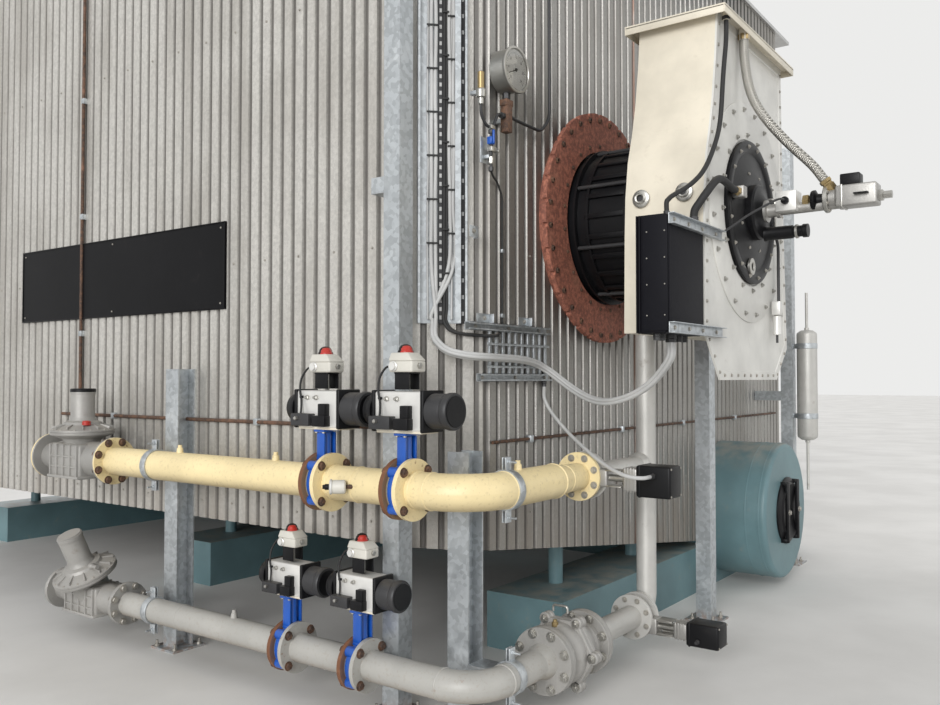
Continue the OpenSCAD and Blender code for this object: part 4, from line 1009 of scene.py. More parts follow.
class BOILER_OT_control_valves(Maker, bpy.types.Operator):
    """Replace the control valves by wafer bodies with their brackets and motor boxes"""

    bl_idname = "boiler.control_valves"
    bl_label = "Control valves"

    def make(self, sizes):
        for name, x, y, z, r, high, drop in (
                ("upper_control_valve", 0.792, UPPER_RUN, UPPER_Z, 0.110, 0.160, 0.0),
                ("lower_control_valve", 1.362, LOWER_RUN, LOWER_Z, 0.100, 0.130, 0.035)):
            m, c = x + 0.028, z - drop
            parts = [(disc(r, 0.056, (x, y, z), "X", 48, 0.004), "alloy"),
                     (turned([(0.018, 0), (0.018, 0.16)], (m, y - r + 0.01, c), "-Y", 20), "steel"),
                     (block((0.080, 0.060, 0.090), (m, y - r - 0.02, c), 0.008, 3), "alloy")]
            parts += [(block((0.084, 0.090, 0.006), (m, y - 0.195, c + s * 0.040), 0.001), "steel") for s in (-1, 1)]
            parts.append((block((0.090, 0.080, high - 0.042), (m, y - 0.288, c), 0.010, 3), "alloy"))
            parts += [(block((0.094, 0.006, high - 0.038), (m, y - 0.262 - i * 0.016, c), 0.002), "alloy")
                      for i in range(4)]
            parts.append((block((0.138, 0.182, high - 0.004), (m, y - 0.422, c), 0.012, 3), "black"))
            parts.append((block((0.142, 0.010, high), (m, y - 0.350, c), 0.004), "black"))
            places = [((m + a * 0.058, y - 0.513, c + b * (high / 2 - 0.014)), "-Y") for a, b in CORNERS]
            parts.append((copies(hex_bolt(0.008), places), "bolt"))
            parts.append((bolt_circle((x, y, z), r - 0.012, 4, "-X", 0.010, 0), "bolt"))
            if z > 0.6:
                parts.append((hexagonal([(0, 0), (0.015, 0), (0.015, 0.014), (0.011, 0.018), (0.013, 0.022),
                                         (0.013, 0.035), (0, 0.035)], (m - 0.070, y - 0.425, z + 0.030), "-X"), "dark"))
                parts.append((disc(0.125, 0.022, (x + 0.056, y, z), "X"), "silver"))
                parts.append((turned([(0.080, 0), (0.056, 0.07), (0.0552, 0.10), (0.0552, 1.493 - x - 0.078)],
                                     (x + 0.078, y, z), "X"), "silver"))
                parts.append((turned([(0.075, 0), (0.072, 0.02), (0.058, 0.035), (0.0552, 0.04)],
                                     (1.494, y, z), "-X"), "silver"))
            else:
                parts += [(disc(0.005, 0.090, (m + a * 0.034, y - 0.245, c + b * 0.034), "Y", 10, 0.0005), "steel")
                          for a, b in CORNERS]
                parts.append((turned([(0, 0), (0.012, 0), (0.012, 0.014), (0.008, 0.018), (0.008, 0.030), (0, 0.030)],
                                     (m - 0.069, y - 0.40, c - 0.03), "-X", 16), "dark"))
            ready(name + "_dressed", parts, (name,))


class BOILER_OT_throat(Maker, bpy.types.Operator):
    """Add the throat ring's bolts and the register's vanes and rods"""

    bl_idname = "boiler.throat"
    bl_label = "Burner throat"

    def make(self, sizes):
        x, z, face = BURNER.x, BURNER.z, FRONT - 0.100
        outer = bolt_circle((x, face, z), 0.650, 32, "-Y", 0.024, 0.012)
        inner = bolt_circle((x, face, z), 0.495, 24, "-Y", 0.016, 0.006)
        ready("throat_bolts", [(outer, "rusty_steel"), (inner, "rusty_steel")])
        vane = block((0.012, 0.250, 0.028), (0, 0, 0), 0.003)
        vanes = copies(vane, [((x + 0.440 * cos(a), -0.545, z + 0.440 * sin(a)), Matrix.Rotation(-a, 4, "Y"))
                              for a in (2 * pi * i / 24 for i in range(24))])
        rods = copies(disc(0.011, 0.410, (0, 0, 0), sides=14), ring_places((x, -0.352, z), 0.446, 8, "-Y"))
        hoops = [turned([(0.432, 0), (0.462, 0), (0.462, 0.012), (0.432, 0.012)], (x, y, z), "-Y", 64)
                 for y in (-0.355, -0.740)]
        ready("register_vanes", [(vanes, "black"), (rods, "dark"), *all_in("black", hoops)])


class BOILER_OT_windbox(Maker, bpy.types.Operator):
    """Replace the windbox's front plate by one with its ring and bolts, and add sight ports and the top's flange"""

    bl_idname = "boiler.windbox"
    bl_label = "Windbox"

    def make(self, sizes):
        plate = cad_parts["windbox_front"].copy()
        plate.data = plate.data.copy()
        bpy.context.collection.objects.link(plate)
        plate.hide_render = False
        for key in list(plate.keys()):
            del plate[key]
        edit(plate)
        bpy.ops.mesh.remove_doubles(threshold=1e-5)
        bpy.ops.mesh.dissolve_limited(angle_limit=radians(1))
        edit(plate, lambda c, n: n.y < -0.9)
        bpy.ops.mesh.inset(thickness=0.045, depth=0)
        bpy.ops.mesh.inset(thickness=0.004, depth=-0.004)
        bpy.ops.object.mode_set(mode="OBJECT")
        x, y, z = BURNER
        ring = turned([(0.398, 0), (0.600, 0), (0.600, 0.005), (0.597, 0.007), (0.401, 0.007), (0.398, 0.004)],
                      (x, y + 0.0035, z), "-Y", 72)
        bolts = copies(hex_bolt(0.020, 0.016), ring_places((x, y - 0.004, z), 0.560, 20, "-Y")
                       + ring_places((x, y - 0.004, z), 0.425, 16, "-Y", 0.2))
        low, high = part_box("windbox_front")
        edge = [((x + i * 0.10, y, low[2] + 0.024), "-Y") for i in range(-4, 5)]
        for side, outline in ((-1, WINDBOX_LEFT), (1, WINDBOX_RIGHT)):
            for (h0, w0), (h1, w1) in zip(outline, outline[1:]):
                count = max(1, round(hypot(h1 - h0, w1 - w0) / 0.10))
                edge += [((x + side * (w0 + (w1 - w0) * (i + 0.5) / count - 0.024), y,
                           low[2] + h0 + (h1 - h0) * (i + 0.5) / count), "-Y") for i in range(count)]
        rim = copies(hex_bolt(0.013, 0.004), edge)
        ready("windbox_front_dressed", [*all_in("grey_front", (plate, ring)), (bolts, "steel"), (rim, "bolt")],
              ("windbox_front",))
        collar = [(0.016, 0), (0.044, 0), (0.046, 0.004), (0.046, 0.012), (0.038, 0.017), (0.030, 0.018),
                  (0.030, 0.026), (0.024, 0.030), (0.018, 0.028), (0.016, 0.020)]
        ports = []
        for at in ((0.902, -0.863, 2.513), (0.902, -1.094, 2.520)):
            ports += [(turned(collar, at, "-X", 32), "steel"),
                      (turned([(0, 0.008), (0.017, 0.008), (0.017, 0.016), (0, 0.018)], at, "-X", 24), "dark")]
        ready("sight_ports", ports)
        mid_x, mid_y, top = 1.620, -0.985, high[2] + 0.012
        places = [((mid_x + i * 0.16, mid_y + s * 0.245, top), "Z") for i in range(-3, 4) for s in (1, -1)]
        places += [((mid_x + s * 0.560, mid_y + i * 0.12, top), "Z") for s in (-1, 1) for i in (-1, 0, 1)]
        lips = boxes(
            "cream", *(((1.18, 0.006, 0.040), (mid_x, mid_y + s * 0.272, top - 0.026), 0.002) for s in (-1, 1)),
            *(((0.006, 0.538, 0.040), (mid_x + s * 0.587, mid_y, top - 0.026), 0.002) for s in (-1, 1)))
        hose_end = hexagonal([(0.030, 0), (0.032, 0.002), (0.032, 0.030), (0.029, 0.033)], ROUTES["gas_hose"][0])
        lead_end = hexagonal([(0.019, 0), (0.021, 0.002), (0.021, 0.020), (0.018, 0.023)], ROUTES["front_lead"][0])
        ready("windbox_flange_bolts", [(copies(hex_bolt(0.018, 0.010), places), "bolt"), *lips,
                                       (hose_end, "brass"), (lead_end, "dark")])


class BOILER_OT_burner_front(Maker, bpy.types.Operator):
    """Replace the burner's cover and gun by a dished cover and a gun of fittings, and add the air switch"""

    bl_idname = "boiler.burner_front"
    bl_label = "Burner front"

    def make(self, sizes):
        x, y, z = BURNER
        cover = turned([(0, 0.020), (0.060, 0.020), (0.070, 0.026), (0.200, 0.034), (0.230, 0.026), (0.324, 0.014),
                        (0.338, 0.024), (0.374, 0.026), (0.390, 0.020), (0.390, 0.0), (0.365, 0.0)],
                       (x, y, z), "-Y", 72)
        parts = [(cover, "black"), (bolt_circle((x, y - 0.024, z), 0.358, 16, "-Y", 0.016, 0.012), "bolt"),
                 (bolt_circle((x, y - 0.028, z), 0.215, 8, "-Y", 0.014, 0.008), "bolt")]
        boss = turned([(0.150, 0.028), (0.150, 0.060), (0.140, 0.070), (0.100, 0.074), (0.070, 0.092), (0, 0.092)],
                      (x, y, z), "-Y", 48)
        parts.append((boss, "black"))
        glass = (x - 0.05, y - 0.022, z - 0.300)
        parts.append((turned([(0.020, 0), (0.046, 0), (0.046, 0.012), (0.036, 0.016), (0.024, 0.014), (0.020, 0.008)],
                             glass, "-Y", 32), "steel"))
        grip = bent([(x + 0.20, y - 0.024, z - 0.10), (x + 0.20, y - 0.080, z - 0.10), (x + 0.20, y - 0.080, z + 0.10),
                     (x + 0.20, y - 0.024, z + 0.10)], 0.009, 0.02)
        parts.append((grip, "steel"))
        parts.append((block((0.060, 0.060, 0.060), (x - 0.300, y - 0.052, z + 0.060), 0.006, 3), "alloy"))
        parts.append((hexagonal([(0, 0), (0.024, 0), (0.024, 0.016), (0.020, 0.020), (0.022, 0.024), (0.022, 0.040),
                                 (0, 0.040)], (x - 0.330, y - 0.052, z + 0.060), "-X"), "brass"))
        ready("burner_cover_dressed", parts, ("burner_cover",))
        gun_z = z + 0.030
        gun = [(turned([(0.060, 0), (0.060, 0.012), (0.036, 0.016), (0.034, 0.060), (0.042, 0.062), (0.042, 0.080),
                        (0.030, 0.084), (0.026, 0.420), (0, 0.420)], (x, y - 0.092, z), "-Y", 32), "alloy"),
               (block((0.110, 0.110, 0.110), (x - 0.01, y - 0.215, z + 0.035), 0.008), "white"),
               (disc(0.020, 0.020, (x - 0.065, y - 0.215, z + 0.035), "-X", 24), "black"),
               (hexagonal([(0, 0), (0.034, 0), (0.036, 0.006), (0.036, 0.030), (0.026, 0.036), (0.026, 0.050),
                           (0, 0.050)], (x, y - 0.290, gun_z), "-Y"), "brass"),
               (turned([(0, 0), (0.050, 0), (0.054, 0.008), (0.054, 0.020), (0.034, 0.030), (0.030, 0.070), (0, 0.070)],
                       (x, y - 0.334, gun_z), "-Y", 32), "black"),
               (disc(0.072, 0.022, (x, y - 0.400, gun_z), "-Y", 40, 0.004), "steel"),
               (disc(0.050, 0.040, (x, y - 0.421, gun_z), "-Y", 32, 0.004), "alloy"),
               (block((0.116, 0.200, 0.110), (x, y - 0.560, gun_z), 0.010, 3), "alloy"),
               (block((0.070, 0.070, 0.006), (x - 0.058, y - 0.590, gun_z), 0.002), "black"),
               (block((0.122, 0.012, 0.118), (x, y - 0.492, gun_z), 0.004), "steel"),
               (block((0.086, 0.096, 0.060), (x, y - 0.530, z + 0.115), 0.006), "black"),
               (hexagonal([(0, 0), (0.030, 0), (0.030, 0.020), (0.020, 0.024), (0.020, 0.062), (0, 0.062)],
                          (x, y - 0.660, z + 0.020), "-Y"), "steel"),
               (hexagonal([(0, 0), (0.027, 0), (0.027, 0.030), (0.031, 0.034), (0.031, 0.062), (0.026, 0.066),
                           (0.026, 0.074), (0.031, 0.078), (0.031, 0.095), (0, 0.095)],
                          (x, y - 0.452, z + 0.050), towards(-0.25, 0.52, 0.82)), "brass")]
        gun.append((bolt_circle((x, y - 0.422, gun_z), 0.058, 6, "-Y", 0.014, 0.008), "bolt"))
        gun.append((turned([(0.040, 0), (0.036, 0.02), (0.036, 0.150), (0.030, 0.156), (0.030, 0.200), (0.036, 0.204),
                            (0.036, 0.230), (0, 0.230)], (x + 0.05, y - 0.070, z - 0.115), "-Y", 32), "black"))
        gun.append((disc(0.038, 0.014, (x + 0.05, y - 0.235, z - 0.115), "-Y", 32), "steel"))
        lead = bent([(x - 0.08, y - 0.215, z + 0.035), (x - 0.16, y - 0.215, z + 0.035), (x - 0.30, y - 0.10, z - 0.06),
                     (x - 0.44, y - 0.02, z - 0.16)], 0.006, 0.05)
        gun.append((lead, "dark"))
        ready("burner_gun_dressed", gun, ("burner_gun",))
        line = [(bent([(x + 0.30, y - 0.03, z - 0.02), (x + 0.42, y - 0.03, z - 0.12), (x + 0.42, y - 0.03, z - 0.52)],
                      0.009, 0.04), "dark"),
                (block((0.050, 0.050, 0.080), (x + 0.37, y - 0.035, z - 0.50), 0.006), "white"),
                (disc(0.024, 0.110, (x + 0.37, y - 0.035, z - 0.655), "Z", 24, 0.003), "white"),
                (block((0.075, 0.030, 0.030), (x + 0.40, y - 0.035, z - 0.535), 0.006), "steel"),
                (disc(0.007, 0.05, (x + 0.37, y - 0.035, z - 0.70), "Z", 12), "dark")]
        ready("burner_air_switch", line)


class BOILER_OT_control_box(Maker, bpy.types.Operator):
    """Replace the control box by a housing with its lid, screws and glands, on two galvanised rails"""

    bl_idname = "boiler.control_box"
    bl_label = "Control box"

    def make(self, sizes):
        (x0, y0, z0), (x1, y1, z1) = BOX
        mid_x, mid_y, mid_z = (x0 + x1) / 2 + 0.006, (y0 + y1) / 2, (z0 + z1) / 2
        wide, tall = x1 - x0 - 0.012, z1 - z0
        parts = boxes("box", ((wide, y1 - y0 - 0.016, tall), (mid_x, mid_y + 0.008, mid_z), 0.006, 3),
                      ((wide - 0.010, 0.014, tall - 0.010), (mid_x, y0 + 0.007, mid_z), 0.004, 3),
                      ((0.008, 0.118, tall - 0.020), (x0 + 0.008, mid_y - 0.016, mid_z), 0.003),
                      *(((0.014, 0.007, tall - 0.004), (x0 + 0.008, y1 - back, mid_z), 0.002)
                        for back in (0.006, 0.020)))
        screw = disc(0.0035, 0.0025, (0, 0, 0), sides=12, soft=0.001)
        places = [((x0 + 0.004, y, z), "-X") for y in (-1.182, -1.096) for z in (1.88, 2.02, 2.14, 2.26)]
        parts.append((copies(screw, places), "bolt"))
        rail = 0.665
        for z in (z0 + 0.025, z1 - 0.025):
            parts += boxes("zinc", ((rail, 0.004, 0.050), (x0 + rail / 2, y0 - 0.004, z), 0.001),
                           *(((rail, 0.026, 0.004), (x0 + rail / 2, y0 - 0.017, z + s * 0.023), 0.001)
                             for s in (-1, 1)))
            places = [((x, y0 - 0.006, z), "-Y") for x in (0.50, 0.67, 0.84, 1.02)]
            parts.append((copies(hex_bolt(0.015), places), "bolt"))
        for x, out, z, axis, r, h in ((0.840, 0.035, z1, "Z", 0.024, 0.040), (0.620, 0.080, z1, "Z", 0.016, 0.040),
                                      (0.660, 0.080, z0, "-Z", 0.027, 0.035),
                                      *((x, 0.080, z0, "-Z", 0.017, 0.030) for x in (0.50, 0.56, 0.76, 0.82))):
            gland = [(0, 0), (r, 0), (r, h * 0.45), (r * 0.86, h * 0.5), (r * 0.94, h * 0.55), (r * 0.94, h), (0, h)]
            parts.append((hexagonal(gland, (x, y0 + out, z), axis), "dark"))
        ready("control_box_dressed", parts, ("control_box",))


class BOILER_OT_gauge(Maker, bpy.types.Operator):
    """Replace the pressure gauge by one with a dial, pointer, glass, transmitter and cocks"""

    bl_idname = "boiler.gauge"
    bl_label = "Pressure gauge"

    def make(self, sizes):
        case = turned([(0, -0.055), (0.106, -0.055), (0.111, -0.050), (0.111, 0.030), (0.118, 0.033), (0.120, 0.038),
                       (0.120, 0.046), (0.117, 0.049), (0.107, 0.049), (0.104, 0.043), (0.104, 0.034)],
                      (0, 0, 0), sides=64)
        dial = disc(0.105, 0.003, (0, 0, 0.034), sides=64, soft=0.0005)
        marks = []
        for i in range(31):
            a = radians(225 - 270 * i / 30)
            numbered = i % 5 == 0
            size = (0.014, 0.0022, 0.0006) if numbered else (0.007, 0.0012, 0.0006)
            marks.append(block(size, (0.086 * cos(a), 0.086 * sin(a), 0.0374), 0, turn=Matrix.Rotation(a, 4, "Z")))
            if numbered:
                clear()
                bpy.ops.object.text_add(location=(0, 0, 0))
                word = bpy.context.object
                word.data.body, word.data.size = str(i // 5 * 4), 0.022
                word.data.align_x, word.data.align_y = "CENTER", "CENTER"
                word.location = (0.066 * cos(a), 0.066 * sin(a), 0.0376)
                bpy.ops.object.convert(target="MESH")
                marks.append(apply(bpy.context.object))
        swing = Matrix.Rotation(radians(205), 4, "Z")
        pointer = block((0.086, 0.004, 0.0015), swing @ Vector((0.030, 0, 0.040)), 0, turn=swing)
        hub = disc(0.009, 0.004, (0, 0, 0.038), sides=24, soft=0.001)
        pane = disc(0.1035, 0.002, (0, 0, 0.0440), sides=48, soft=0.0005)
        parts = [(case, "steel"), (dial, "dial"), *all_in("ink", (*marks, pointer, hub))]
        for part in (case, dial, *marks, pointer, hub, pane):
            stand(part, (0.500, -0.320, 3.170), "-Y")
        y = -0.300
        fittings = [
            (self.nut(0.021, 0.040, (0.500, y, 3.026)), "dark"),
            *boxes("rusty_steel", ((0.062, 0.046, 0.034), (0.500, y, 3.008), 0.004),
                   ((0.048, 0.044, 0.140), (0.500, y, 2.926), 0.004)),
            (self.nut(0.017, 0.026, (0.474, y, 2.936), "-X"), "dark"),
            (bent([(0.455, y, 2.936), (0.420, y, 2.936), (0.375, y, 2.852), (0.352, y, 2.852)], 0.008, 0.02), "dark"),
            (turned([(0, 0), (0.014, 0), (0.014, 0.030), (0.024, 0.034), (0.026, 0.068), (0.020, 0.076), (0, 0.076)],
                    (0.273, y, 2.948), sides=24), "steel"),
            (turned([(0, 0), (0.017, 0), (0.017, 0.084), (0.012, 0.088), (0, 0.088)],
                    (0.273, y, 3.022), sides=24), "brass"),
            (bent([(0.273, y, 2.950), (0.273, y, 2.900), (0.315, y, 2.852), (0.345, y, 2.852)], 0.008, 0.025), "dark"),
            (self.nut(0.017, 0.040, (0.340, y, 2.852), "X"), "steel"),
            (self.nut(0.014, 0.034, (0.360, y, 2.820)), "dark"),
            (bent([(0.360, y, 2.850), (0.360, y, 2.640)], 0.008, 0.01), "dark"),
            *boxes("blue", ((0.034, 0.030, 0.040), (0.360, y, 2.785), 0.006),
                   ((0.012, 0.010, 0.070), (0.352, y - 0.022, 2.800), 0.003)),
            (block((0.046, 0.030, 0.026), (0.368, y, 2.742), 0.004), "steel"),
            (turned([(0, 0), (0.007, 0), (0.007, 0.016), (0.014, 0.018), (0.014, 0.026), (0, 0.027)],
                    (0.390, y, 2.742), "X", 16), "steel"),
            (self.nut(0.013, 0.036, (0.360, y, 2.668)), "steel"),
            (self.nut(0.013, 0.024, (0.360, y, 2.630)), "dark"),
            (bent([(0.522, y, 2.955), (0.585, -0.285, 2.950), (0.880, -0.275, 2.952), (0.985, -0.268, 3.050),
                   (0.990, -0.262, 4.50)], 0.009, 0.05), "dark"),
            (block((0.030, 0.075, 0.030), (0.500, -0.278, 3.170), 0.003), "dark"),
            *boxes("zinc", ((0.080, 0.006, 0.130), (0.360, -0.262, 2.740), 0.001),
                   ((0.030, 0.030, 0.020), (0.360, -0.280, 2.705), 0.003),
                   ((0.030, 0.060, 0.024), (0.500, -0.270, 2.920), 0.003),
                   ((0.026, 0.060, 0.020), (0.273, -0.270, 3.010), 0.003)),
            (bent([(0.360, y, 2.634), (0.390, -0.290, 2.614), (0.490, -0.250, 2.605), (0.540, -0.246, 2.540),
                   (0.540, -0.246, 1.878)], 0.0055, 0.03), "rubber"),
            *boxes("zinc", *(((0.026, 0.018, 0.020), (0.540, -0.246, z), 0.002) for z in (1.92, 2.255)),
                   ((0.072, 0.003, 0.058), (0.267, -0.2615, 2.320), 0.001),
                   ((0.003, 0.030, 0.058), (0.3015, -0.248, 2.320), 0.001)),
            (stand(hex_bolt(0.018, 0.008), (0.262, -0.263, 2.322), "-Y"), "bolt")]
        ready("pressure_gauge_dressed", [*parts, *fittings], ("pressure_gauge",))
        ready("gauge_glass", [(pane, "glass")])

    def nut(self, r, thick, at, axis="Z"):
        """A union nut, turned off a little at both ends."""
        return hexagonal([(0, 0), (r * 0.9, 0), (r, thick * 0.12), (r, thick * 0.88), (r * 0.9, thick), (0, thick)],
                         at, axis)


class BOILER_OT_cords(Maker, bpy.types.Operator):
    """Replace the plain tubes of the cords by a braided hose, cables and a bundle of four leads"""

    bl_idname = "boiler.cords"
    bl_label = "Cords"

    def make(self, sizes):
        for name, slot, look, r, kind in (("gas_hose", "steel_braid", "braid", 0.0245, "medium"),
                                          ("valve_hose", "black_rubber", "rubber", 0.0195, "medium"),
                                          ("front_lead", "black_rubber", "rubber", 0.0118, "limp"),
                                          ("valve_lead", "grey_cable", "cable", 0.0098, "limp")):
            self.one(name, name + "_free", ROUTES[name], slot, look, r, kind)
        route = smoothed(ROUTES["control_bundle"], 3)
        for i, shifted in enumerate(beside(route, BUNDLE_SPREAD, 4)):
            self.one("control_bundle", "control_lead_%d" % (i + 1), shifted[::3], "grey_cable", "cable", 0.0100, "limp")

    def one(self, node, name, points, slot, look, r, kind):
        piece = ready(name, [(tube(points, r, sides=4), look)], (node,))
        way = smoothed(points)
        sum((b - a).length for a, b in zip(way, way[1:]))


class BOILER_OT_cable_ways(Maker, bpy.types.Operator):
    """Replace the tray by one with painted-shade channels and tied cables and the rack by one with rungs, and add the
    walls' lines
    """

    bl_idname = "boiler.cable_ways"
    bl_label = "Cable ways"

    def make(self, sizes):
        side = placed((WALL + CORNER_CUT / 2, FRONT + CORNER_CUT / 2, 0), Matrix.Rotation(-pi / 4, 4, "Z"))
        turn = side.to_3x3().to_4x4()
        low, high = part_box("cable_tray")
        tall = high[2] - low[2]

        def spot(u, v, up):
            """A point by its place across the corner's face, out from it, and above the tray's foot."""
            return side @ Vector((u, v, low[2] + up))

        tray = [block((wide, deep, tall), spot(u, v, tall / 2), 0.0005, 1, turn) for wide, deep, u, v in (
            (0.250, 0.003, 0, -0.0198), (0.003, 0.050, -0.1235, -0.0433), (0.003, 0.050, 0.1235, -0.0433),
            (0.012, 0.003, -0.119, -0.0668), (0.012, 0.003, 0.119, -0.0668), (0.030, 0.003, 0.078, -0.0560))]
        # Painted shade: dark strips stand for the tray's galvanised channels in their shade; pale holes run along them.
        channel_shade_strips = [block((wide, 0.0012, tall), spot(u, v, tall / 2), 0.0003, 1, turn)
                 for wide, u, v in ((0.030, -0.006, -0.0220), (0.024, 0.107, -0.0226))]
        step, face = 0.042, -0.0232
        rows = int(tall / step)
        places = [(spot(-0.006, face, 0.03 + i * step), turn) for i in range(rows)]
        places += [(spot(0.107, -0.0238, 0.05 + i * step * 2), turn) for i in range(rows // 2)]
        holes = copies(block((0.012, 0.0012, 0.020), (0, 0, 0), 0.0003, 1), places)
        cables = []
        ends = [shifted[-1] for shifted in beside(smoothed(ROUTES["control_bundle"], 3), BUNDLE_SPREAD, 4)]
        for i, (start, u) in enumerate(zip(ends, (-0.054, -0.033, 0.038, 0.060))):
            way = [spot(u + 0.003 * sin(3 * j + 9 * i), -0.033, 0.30 + (tall - 0.34) * j / 8) for j in range(9)]
            cables.append((tube([start, start + Vector((0, 0, 0.05)), *way], 0.0100), "cable"))
        for u, r in ((0.011, 0.009), (0.024, 0.007)):
            foot = spot(u, face - r, 0.01)
            way = [Vector((0.480 + u, FRONT - 0.034, 1.828)), Vector((0.400 + u, FRONT - 0.050, 1.810)),
                   foot + Vector((0.030, -0.050, -0.055)), foot]
            way += [spot(u + 0.002 * sin(3 * j + 40 * u), face - r, 0.10 + (tall - 0.14) * j / 9)
                    for j in range(10)]
            cables.append((tube(way, r), "rubber"))
        for u, r in ((-0.072, 0.005), (0.049, 0.006)):
            way = [spot(u + 0.0025 * sin(4 * j + 60 * u), face - r, 0.02 + (tall - 0.06) * j / 10)
                   for j in range(11)]
            cables.append((tube(way, r), "cable"))
        ties = []
        for u, wide, first in ((-0.048, 0.062, 0.40), (0.017, 0.034, 0.25), (0.050, 0.046, 0.45)):
            places = [(spot(u, -0.0450, first + i * 0.22), turn) for i in range(int((tall - first) / 0.22))]
            ties.append(copies(block((wide, 0.006, 0.009), (0, 0, 0), 0.001), places))
        ready("cable_tray_dressed", [*all_in("zinc", tray), *all_in("dark", channel_shade_strips), (holes, "cable"), *cables,
                                     *all_in("rubber", ties)], ("cable_tray",))
        y = FRONT - CREST - 0.0001
        rack = []
        for x, z, wide in ((0.605, 1.855, 0.770), (0.665, 1.600, 0.690)):
            rack += boxes("zinc", ((wide, 0.003, 0.040), (x, y - 0.0015, z), 0.0008, 1),
                          *(((wide, 0.030, 0.003), (x, y - 0.015, z + s * 0.0185), 0.0008, 1) for s in (-1, 1)),
                          *(((wide, 0.003, 0.010), (x, y - 0.0285, z + s * 0.015), 0.0008, 1) for s in (-1, 1)))
            places = [((x + i * 0.30, y - 0.003, z), "-Y") for i in (-1, 0, 1)]
            rack.append((copies(hex_bolt(0.016), places), "bolt"))
        rungs = [((0.020, 0.012, 0.217), (0.410 + 0.060 * i, y - 0.018, 1.7275), 0.002) for i in range(10)]
        bars = [((0.600, 0.008, 0.012), (0.680, y - 0.026, z), 0.002) for z in (1.655, 1.770)]
        rack += boxes("zinc", *rungs, *bars)
        for x, wide in ((0.376, 0.110), (0.750, 0.090)):
            rack += boxes("zinc", ((wide, 0.003, 0.046), (x, y - 0.0015, 1.899), 0.001),
                          ((0.004, 0.030, 0.046), (x + wide / 2, y - 0.016, 1.899), 0.001))
            rack.append((stand(hex_bolt(0.016), (x + 0.01, y - 0.003, 1.899), "-Y"), "bolt"))
        rack.append((hexagonal([(0, 0), (0.014, 0), (0.014, 0.014), (0.011, 0.018), (0.0125, 0.022), (0.0125, 0.031),
                                (0, 0.031)], (0.945, y - 0.015, 1.581), "-Z"), "dark"))
        ready("cable_rack_dressed", rack, ("cable_rack",))
        r = sizes.conduit
        left, front, rise = 0.077 - r, FRONT - 0.021 - r, 2.9
        left_z, front_z = 1.350, 1.270
        lines = [bent([(left, 3.12, left_z), (left, 0.12, left_z)], r, 0.03),
                 bent([(left, rise, 4.45), (left, rise, left_z + 0.012)], r, 0.03),
                 bent([(0.44, front, front_z), (5.10, front, front_z)], r * 0.8, 0.03)]
        places = [(0.070, y, left_z) for y in (0.4, 1.1, 1.8, 2.5)] + [(0.070, rise, z) for z in (1.9, 2.7, 3.5)]
        places += [(x, FRONT - 0.030, front_z) for x in (0.8, 1.9, 2.9, 4.0)]
        clips = copies(block((0.030, 0.036, 0.040), (0, 0, 0), 0.005), [(at, "Z") for at in places])
        ready("wall_lines", [*all_in("rusty_steel", lines), (clips, "zinc")])


class BOILER_OT_posts(Maker, bpy.types.Operator):
    """Add the posts' anchor bolts and the pipes' two-bolt straps, and replace the drain pot by a banded one"""

    bl_idname = "boiler.posts"
    bl_label = "Posts and straps"

    def make(self, sizes):
        feet = [((0, 0), 0.070), ((0.0217, 1.730), 0.085), ((0.130, -0.310), 0.085), ((2.435, -0.600), 0.070),
                ((4.600, -0.520), 0.070)]
        places = [((x + a * d, y + b * d, FOOT), "Z") for (x, y), d in feet for a, b in CORNERS]
        ready("anchor_bolts", [(copies(hex_bolt(sizes.anchor, 0.034), places), "bolt")])
        straps = []
        right, back, up = Vector((1, 0, 0)), Vector((0, 1, 0)), Vector((0, 0, 1))
        for level, run, r in ((UPPER_Z, UPPER_RUN, UPPER_R), (LOWER_Z, LOWER_RUN, LOWER_R)):
            strap = [(r + 0.001, 0), (r + 0.008, 0), (r + 0.009, 0.002), (r + 0.009, 0.044), (r + 0.008, 0.046),
                     (r + 0.001, 0.046)]
            for centre, along, across, axis, bolt_axis in ((Vector((RUN_X, 1.730, level)), back, right, "Y", "-X"),
                                                           (Vector((0.105, run, level)), right, back, "X", "-Y")):
                straps.append(turned(strap, centre - along * 0.023, axis, 48))
                for s in (-1, 1):
                    straps += [block(along * 0.046 + across * 0.008 + up * 0.060,
                                     centre + up * s * (r + 0.034) + across * t * 0.008, 0.002) for t in (-1, 1)]
                    straps.append(stand(hex_bolt(0.018, 0.040), centre + up * s * (r + 0.042) - across * 0.012,
                                        bolt_axis))
        ready("pipe_straps", all_in("zinc", straps))
        pot = (4.600, -0.680, 1.100)
        shell = turned([(0, -0.040), (0.050, -0.034), (0.078, -0.014), (0.0835, 0), (0.0835, 0.870), (0.078, 0.884),
                        (0.050, 0.904), (0, 0.910)], pot, sides=48)
        bands = [turned([(0.0835, h - 0.024), (0.0865, h - 0.020), (0.0865, h + 0.020), (0.0835, h + 0.024)],
                        pot, sides=48) for h in (0.170, 0.770)]
        ends = [turned([(0, -0.460), (0.012, -0.460), (0.012, -0.060), (0.020, -0.056), (0.020, -0.030)],
                       pot, sides=16),
                turned([(0.020, 0.900), (0.020, 0.926), (0.012, 0.930), (0.012, 1.230), (0, 1.230)], pot, sides=16)]
        arms = [block((0.060, 0.080, 0.040), (4.600, -0.612, z), 0.003) for z in (1.270, 1.870)]
        ready("drain_pot_dressed", [(shell, "silver"), *all_in("zinc", bands), *all_in("silver", ends),
                                    *all_in("zinc", arms)], ("drain_pot",))


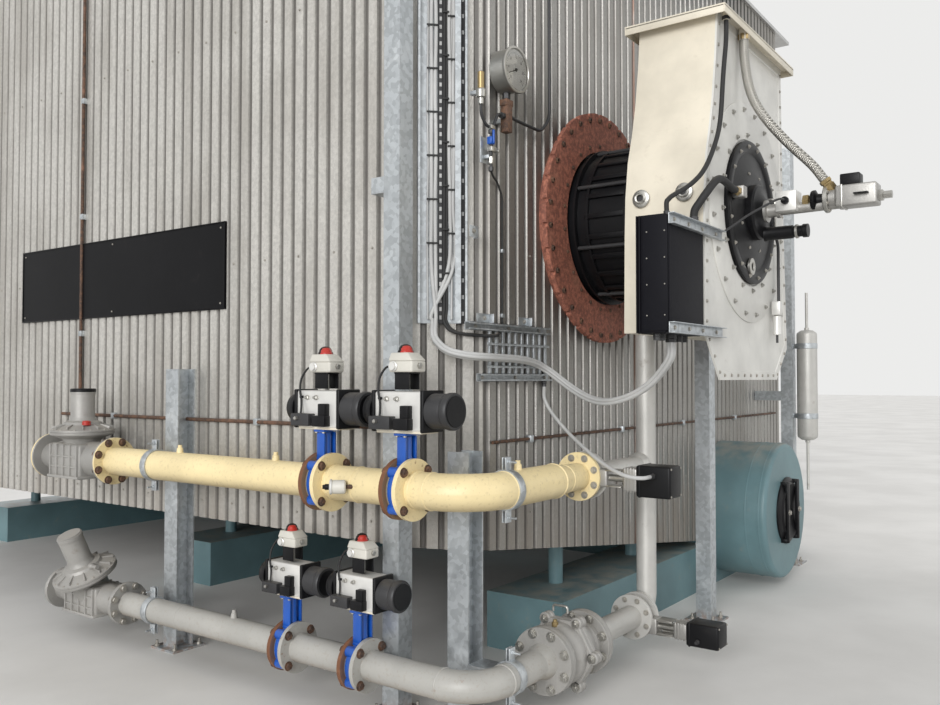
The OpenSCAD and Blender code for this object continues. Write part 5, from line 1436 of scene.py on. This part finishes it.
class BOILER_OT_drum(Maker, bpy.types.Operator):
    """Replace the drums' covers by ringed manways with their yokes, and add the drums' weld beads"""

    bl_idname = "boiler.drum"
    bl_label = "Drums"

    def make(self, sizes):
        parts = []
        for name, z, r in (("lower_drum", DRUM_Z, 0.515), ("steam_drum", None, 0.620)):
            low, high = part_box(name)
            z = z or (low[2] + high[2]) / 2
            beads = []
            for end, axis in ((low[1] - 0.045, "-Y"), (high[1] + 0.045, "Y")):
                at = (DRUM_X, end, z)
                parts.append((turned([(0, 0.018), (0.120, 0.020), (0.190, 0.030), (0.205, 0.044), (0.215, 0.030),
                                      (0.235, 0.026), (0.255, 0.012), (0.255, 0), (0.20, 0)], at, axis, 56), "black"))
                push = TURNS[axis] @ Vector((0, 0, 1))
                for side in (-1, 1):
                    mid = Vector((DRUM_X + side * 0.128, end, z)) + push * 0.046
                    parts += boxes("black", ((0.032, 0.028, 0.460), mid, 0.006),
                                   *(((0.034, 0.050, 0.030), mid + Vector((0, 0, s * 0.216)) - push * 0.024, 0.004)
                                     for s in (-1, 1)))
                    parts.append((stand(hex_bolt(0.030), mid + push * 0.0135, axis), "bolt"))
                beads += [(weld(r, Vector(at) - push * back, axis, 0.008, 72), "teal") for back in (0.057, 0.155)]
            ready(name + "_welds", beads)
        ready("drum_covers", parts, ("drum_manways",))


CLASSES = [BoilerSizes, BoilerColours, BOILER_OT_stage, BOILER_OT_finishes, BOILER_OT_sheet_screws,
           BOILER_OT_sign, BOILER_OT_valves, BOILER_OT_actuators, BOILER_OT_pipe_fittings,
           BOILER_OT_regulators, BOILER_OT_filter, BOILER_OT_control_valves, BOILER_OT_throat,
           BOILER_OT_cords, BOILER_OT_windbox, BOILER_OT_burner_front, BOILER_OT_control_box, BOILER_OT_gauge,
           BOILER_OT_cable_ways, BOILER_OT_posts, BOILER_OT_drum]
STEPS = [c for c in CLASSES if hasattr(c, "bl_idname")]


class BOILER_PT_steps(bpy.types.Panel):
    """List the boiler's making steps, sizes and colours"""

    bl_label = "Boiler"
    bl_space_type = "VIEW_3D"
    bl_region_type = "UI"
    bl_category = "Boiler"

    def draw(self, context):
        for step in STEPS:
            self.layout.operator(step.bl_idname)
        for group in (context.scene.boiler_sizes, context.scene.boiler_colours):
            for key in group.__annotations__:
                self.layout.prop(group, key)


def register():
    for made in (*CLASSES, BOILER_PT_steps):
        bpy.utils.register_class(made)
    bpy.types.Scene.boiler_sizes = bpy.props.PointerProperty(type=BoilerSizes)
    bpy.types.Scene.boiler_colours = bpy.props.PointerProperty(type=BoilerColours)


def unregister():
    del bpy.types.Scene.boiler_sizes
    del bpy.types.Scene.boiler_colours
    for made in reversed((*CLASSES, BOILER_PT_steps)):
        bpy.utils.unregister_class(made)


def main():
    register()
    for step in STEPS:
        group, name = step.bl_idname.split(".")
        getattr(getattr(bpy.ops, group), name)()


if __name__ == "__main__":
    main()
